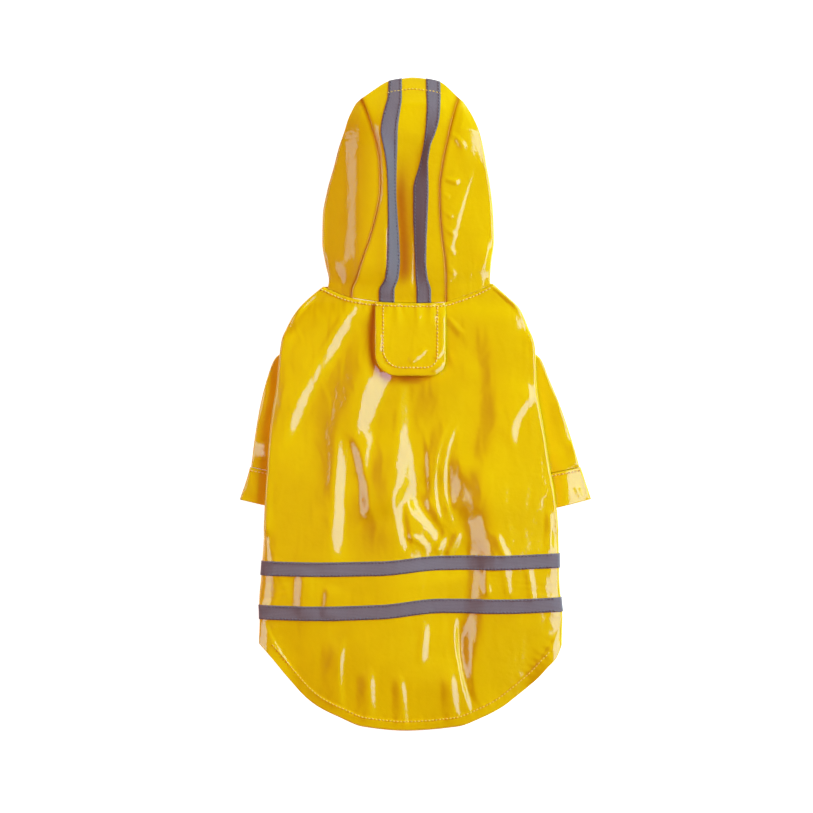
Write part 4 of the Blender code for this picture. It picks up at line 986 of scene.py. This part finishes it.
across, down = np.meshgrid(np.linspace(0.0, 1.0, 72), np.linspace(0.0, 1.0, 76))
flap = new_piece("flap", flap_surface(across, down), wet_cloth, CLOTH)
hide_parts("leash_flap")


# ================================================================ stitching
# Lockstitch: pale thread at the neck seam, the flap's edge and the cuffs, yellow thread at the
# brim and the hem, and grey thread along both edges of every tape.

THREAD_RADIUS = 0.42
STITCH, STITCH_GAP = 1.5, 0.8
STITCH_RINGS, STITCH_SIDES = 5, 6
BACK_TAPE_STITCH, HOOD_TAPE_STITCH = 0.09, 0.12   # from a tape's edge, as a share of its width
SEWN_IN = 8               # a back tape's stitches start this many columns in from its folds
HEM_SEWN_IN = 5.0

pale_thread, tree, shader = new_finish("thread", Roughness=0.6, Specular_IOR_Level=0.1)
place = add_node(tree, "TexCoord").outputs["Object"]
twist = add_node(tree, "TexNoise", {"Vector": place, "Scale": 900.0, "Detail": 1.0})
colour = colour_ramp(tree, twist.outputs["Fac"], (0.86, 0.58, 0.14), (0.94, 0.72, 0.26))
tree.links.new(colour, shader.inputs["Base Color"])
grey_thread = new_finish("grey_thread", Base_Color=(0.15, 0.125, 0.16, 1.0), Roughness=0.6)[0]
yellow_thread = new_finish("yellow_thread", Base_Color=(0.86, 0.58, 0.06, 1.0), Roughness=0.55)[0]


def sew(name, path, finish=pale_thread):
    """A row of stitches along a path: each a thin tube that dips into the cloth at both ends.

    Its height falls as the fourth power of the way out from its middle, and so does its girth.
    """
    step = np.linalg.norm(np.diff(path, axis=0), axis=1)
    place = np.concatenate([[0.0], np.cumsum(step)])
    count = int(place[-1] // (STITCH + STITCH_GAP))
    starts = (np.arange(count) + 0.5) * place[-1] / count - 0.5 * STITCH
    inside = np.linspace(0.0, 1.0, STITCH_RINGS)
    at = starts[:, None] + STITCH * inside
    line = np.stack([np.interp(at, place, path[:, i]) for i in range(3)], axis=2)
    line[..., 2] += THREAD_RADIUS * (1.3 - 3.2 * (2.0 * inside - 1.0) ** 4)
    ahead = np.gradient(line, axis=1)
    ahead /= np.linalg.norm(ahead, axis=2, keepdims=True)
    aside = np.cross(ahead, [0.0, 0.0, 1.0])
    aside /= np.linalg.norm(aside, axis=2, keepdims=True)
    upward = np.cross(aside, ahead)
    turn = np.radians(360.0 / STITCH_SIDES * np.arange(STITCH_SIDES))[:, None]
    girth = THREAD_RADIUS * (1.0 - 0.45 * (2.0 * inside - 1.0) ** 4)[None, :, None, None]
    rings = line[:, :, None] + girth * (np.cos(turn) * aside[:, :, None] + np.sin(turn) * upward[:, :, None])
    ring, side = np.meshgrid(np.arange(STITCH_RINGS - 1), np.arange(STITCH_SIDES), indexing="ij")
    this_ring, next_ring = ring * STITCH_SIDES, (ring + 1) * STITCH_SIDES
    next_side = (side + 1) % STITCH_SIDES
    walls = np.stack([this_ring + side, this_ring + next_side, next_ring + next_side, next_ring + side],
                     axis=-1).reshape(-1, 4)
    first_cap = np.arange(STITCH_SIDES)[::-1]
    caps = np.stack([first_cap, (STITCH_RINGS - 1) * STITCH_SIDES + np.arange(STITCH_SIDES)])
    starts_at = (np.arange(count) * STITCH_RINGS * STITCH_SIDES)[:, None, None]
    walls = (walls + starts_at).reshape(-1, 4)
    caps = (caps + starts_at).reshape(-1, STITCH_SIDES)
    return add_mesh(name, rings, walls.tolist() + caps.tolist(), finish)


def on_back(x, y, room=0.0):
    """A path lying on the back's outer face."""
    return np.stack([x, y, back_height(x, y, room)], axis=1)


x = np.linspace(-62.0, 49.0, 240)
neck_path = on_back(x, neck_y(x) - NECK_STITCH)
over_flap = (x > FLAP_LEFT) & (x < FLAP_RIGHT)
neck_path[over_flap, 2] = flap_height(x[over_flap], neck_path[over_flap, 1])
sew("stitches_neck", neck_path)


def flap_edge(inset):
    """A line round the flap this far inside its edge, down one side and up the other."""
    middle, reach = 0.5 * (FLAP_LEFT + FLAP_RIGHT), 0.5 * (FLAP_RIGHT - FLAP_LEFT) - inset
    x = middle - reach * np.cos(np.linspace(0.0, np.pi, 240))
    y = flap_bottom(x, inset)
    side_y = np.linspace(float(neck_y(middle)) - NECK_STITCH, y[0], 60)
    x = np.concatenate([np.full(60, x[0]), x, np.full(60, x[-1])])
    y = np.concatenate([side_y, y, side_y[::-1]])
    return np.stack([x, y, flap_height(x, y)], axis=1)


sew("stitches_flap", flap_edge(FLAP_STITCH))

turned_under = len(under_shares) + len(turn_angles) + SEWN_IN
for name, start in BACK_TAPES.items():
    for edge, share in (("top", BACK_TAPE_STITCH), ("bottom", 1.0 - BACK_TAPE_STITCH)):
        row = back_rows([start + share])[0, turned_under:-turned_under]
        row[:, 2] += TAPE + TAPE_LIFT
        sew(f"stitches_{name}_tape_{edge}", row, grey_thread)

hem_share = np.linspace(0.02, 0.985, 400)
hem_x = HEM_LEFT + (HEM_RIGHT - HEM_LEFT) * hem_share
hem_path = np.stack([hem_x, hem_y(hem_x)], axis=1)
ahead = np.gradient(hem_path, axis=0)
inward = np.stack([-ahead[:, 1], ahead[:, 0]], axis=1)
x, y = (hem_path + HEM_STITCH * inward / np.linalg.norm(ahead, axis=1)[:, None]).T
keep = (x > HEM_LEFT + HEM_SEWN_IN) & (x < HEM_RIGHT - HEM_SEWN_IN)
sew("stitches_hem", on_back(x[keep], y[keep], TAPE_ROOM), yellow_thread)

for side, first in HOOD_TAPES.items():
    for number, share in (("1", HOOD_TAPE_STITCH), ("2", 1.0 - HOOD_TAPE_STITCH)):
        row = centre_points(np.array([first + share]))[:, 0]
        row[:, 2] += TAPE + TAPE_LIFT
        sew(f"stitches_hood_{side}_{number}", row, grey_thread)

BRIM_ROW = 10             # the brim's stitches follow this row down from its edge
sew("stitches_brim", centre_points(np.linspace(0.9, 5.1, 90))[BRIM_ROW], yellow_thread)

for side in SLEEVES:
    ring = tube_points(side, np.array([1.06, 1.07]), CUFF_STEP)[0]
    ring = ring[ring[:, 2] > 0.96 * SLEEVE_DEPTH]
    sew("stitches_cuff_" + side, ring)
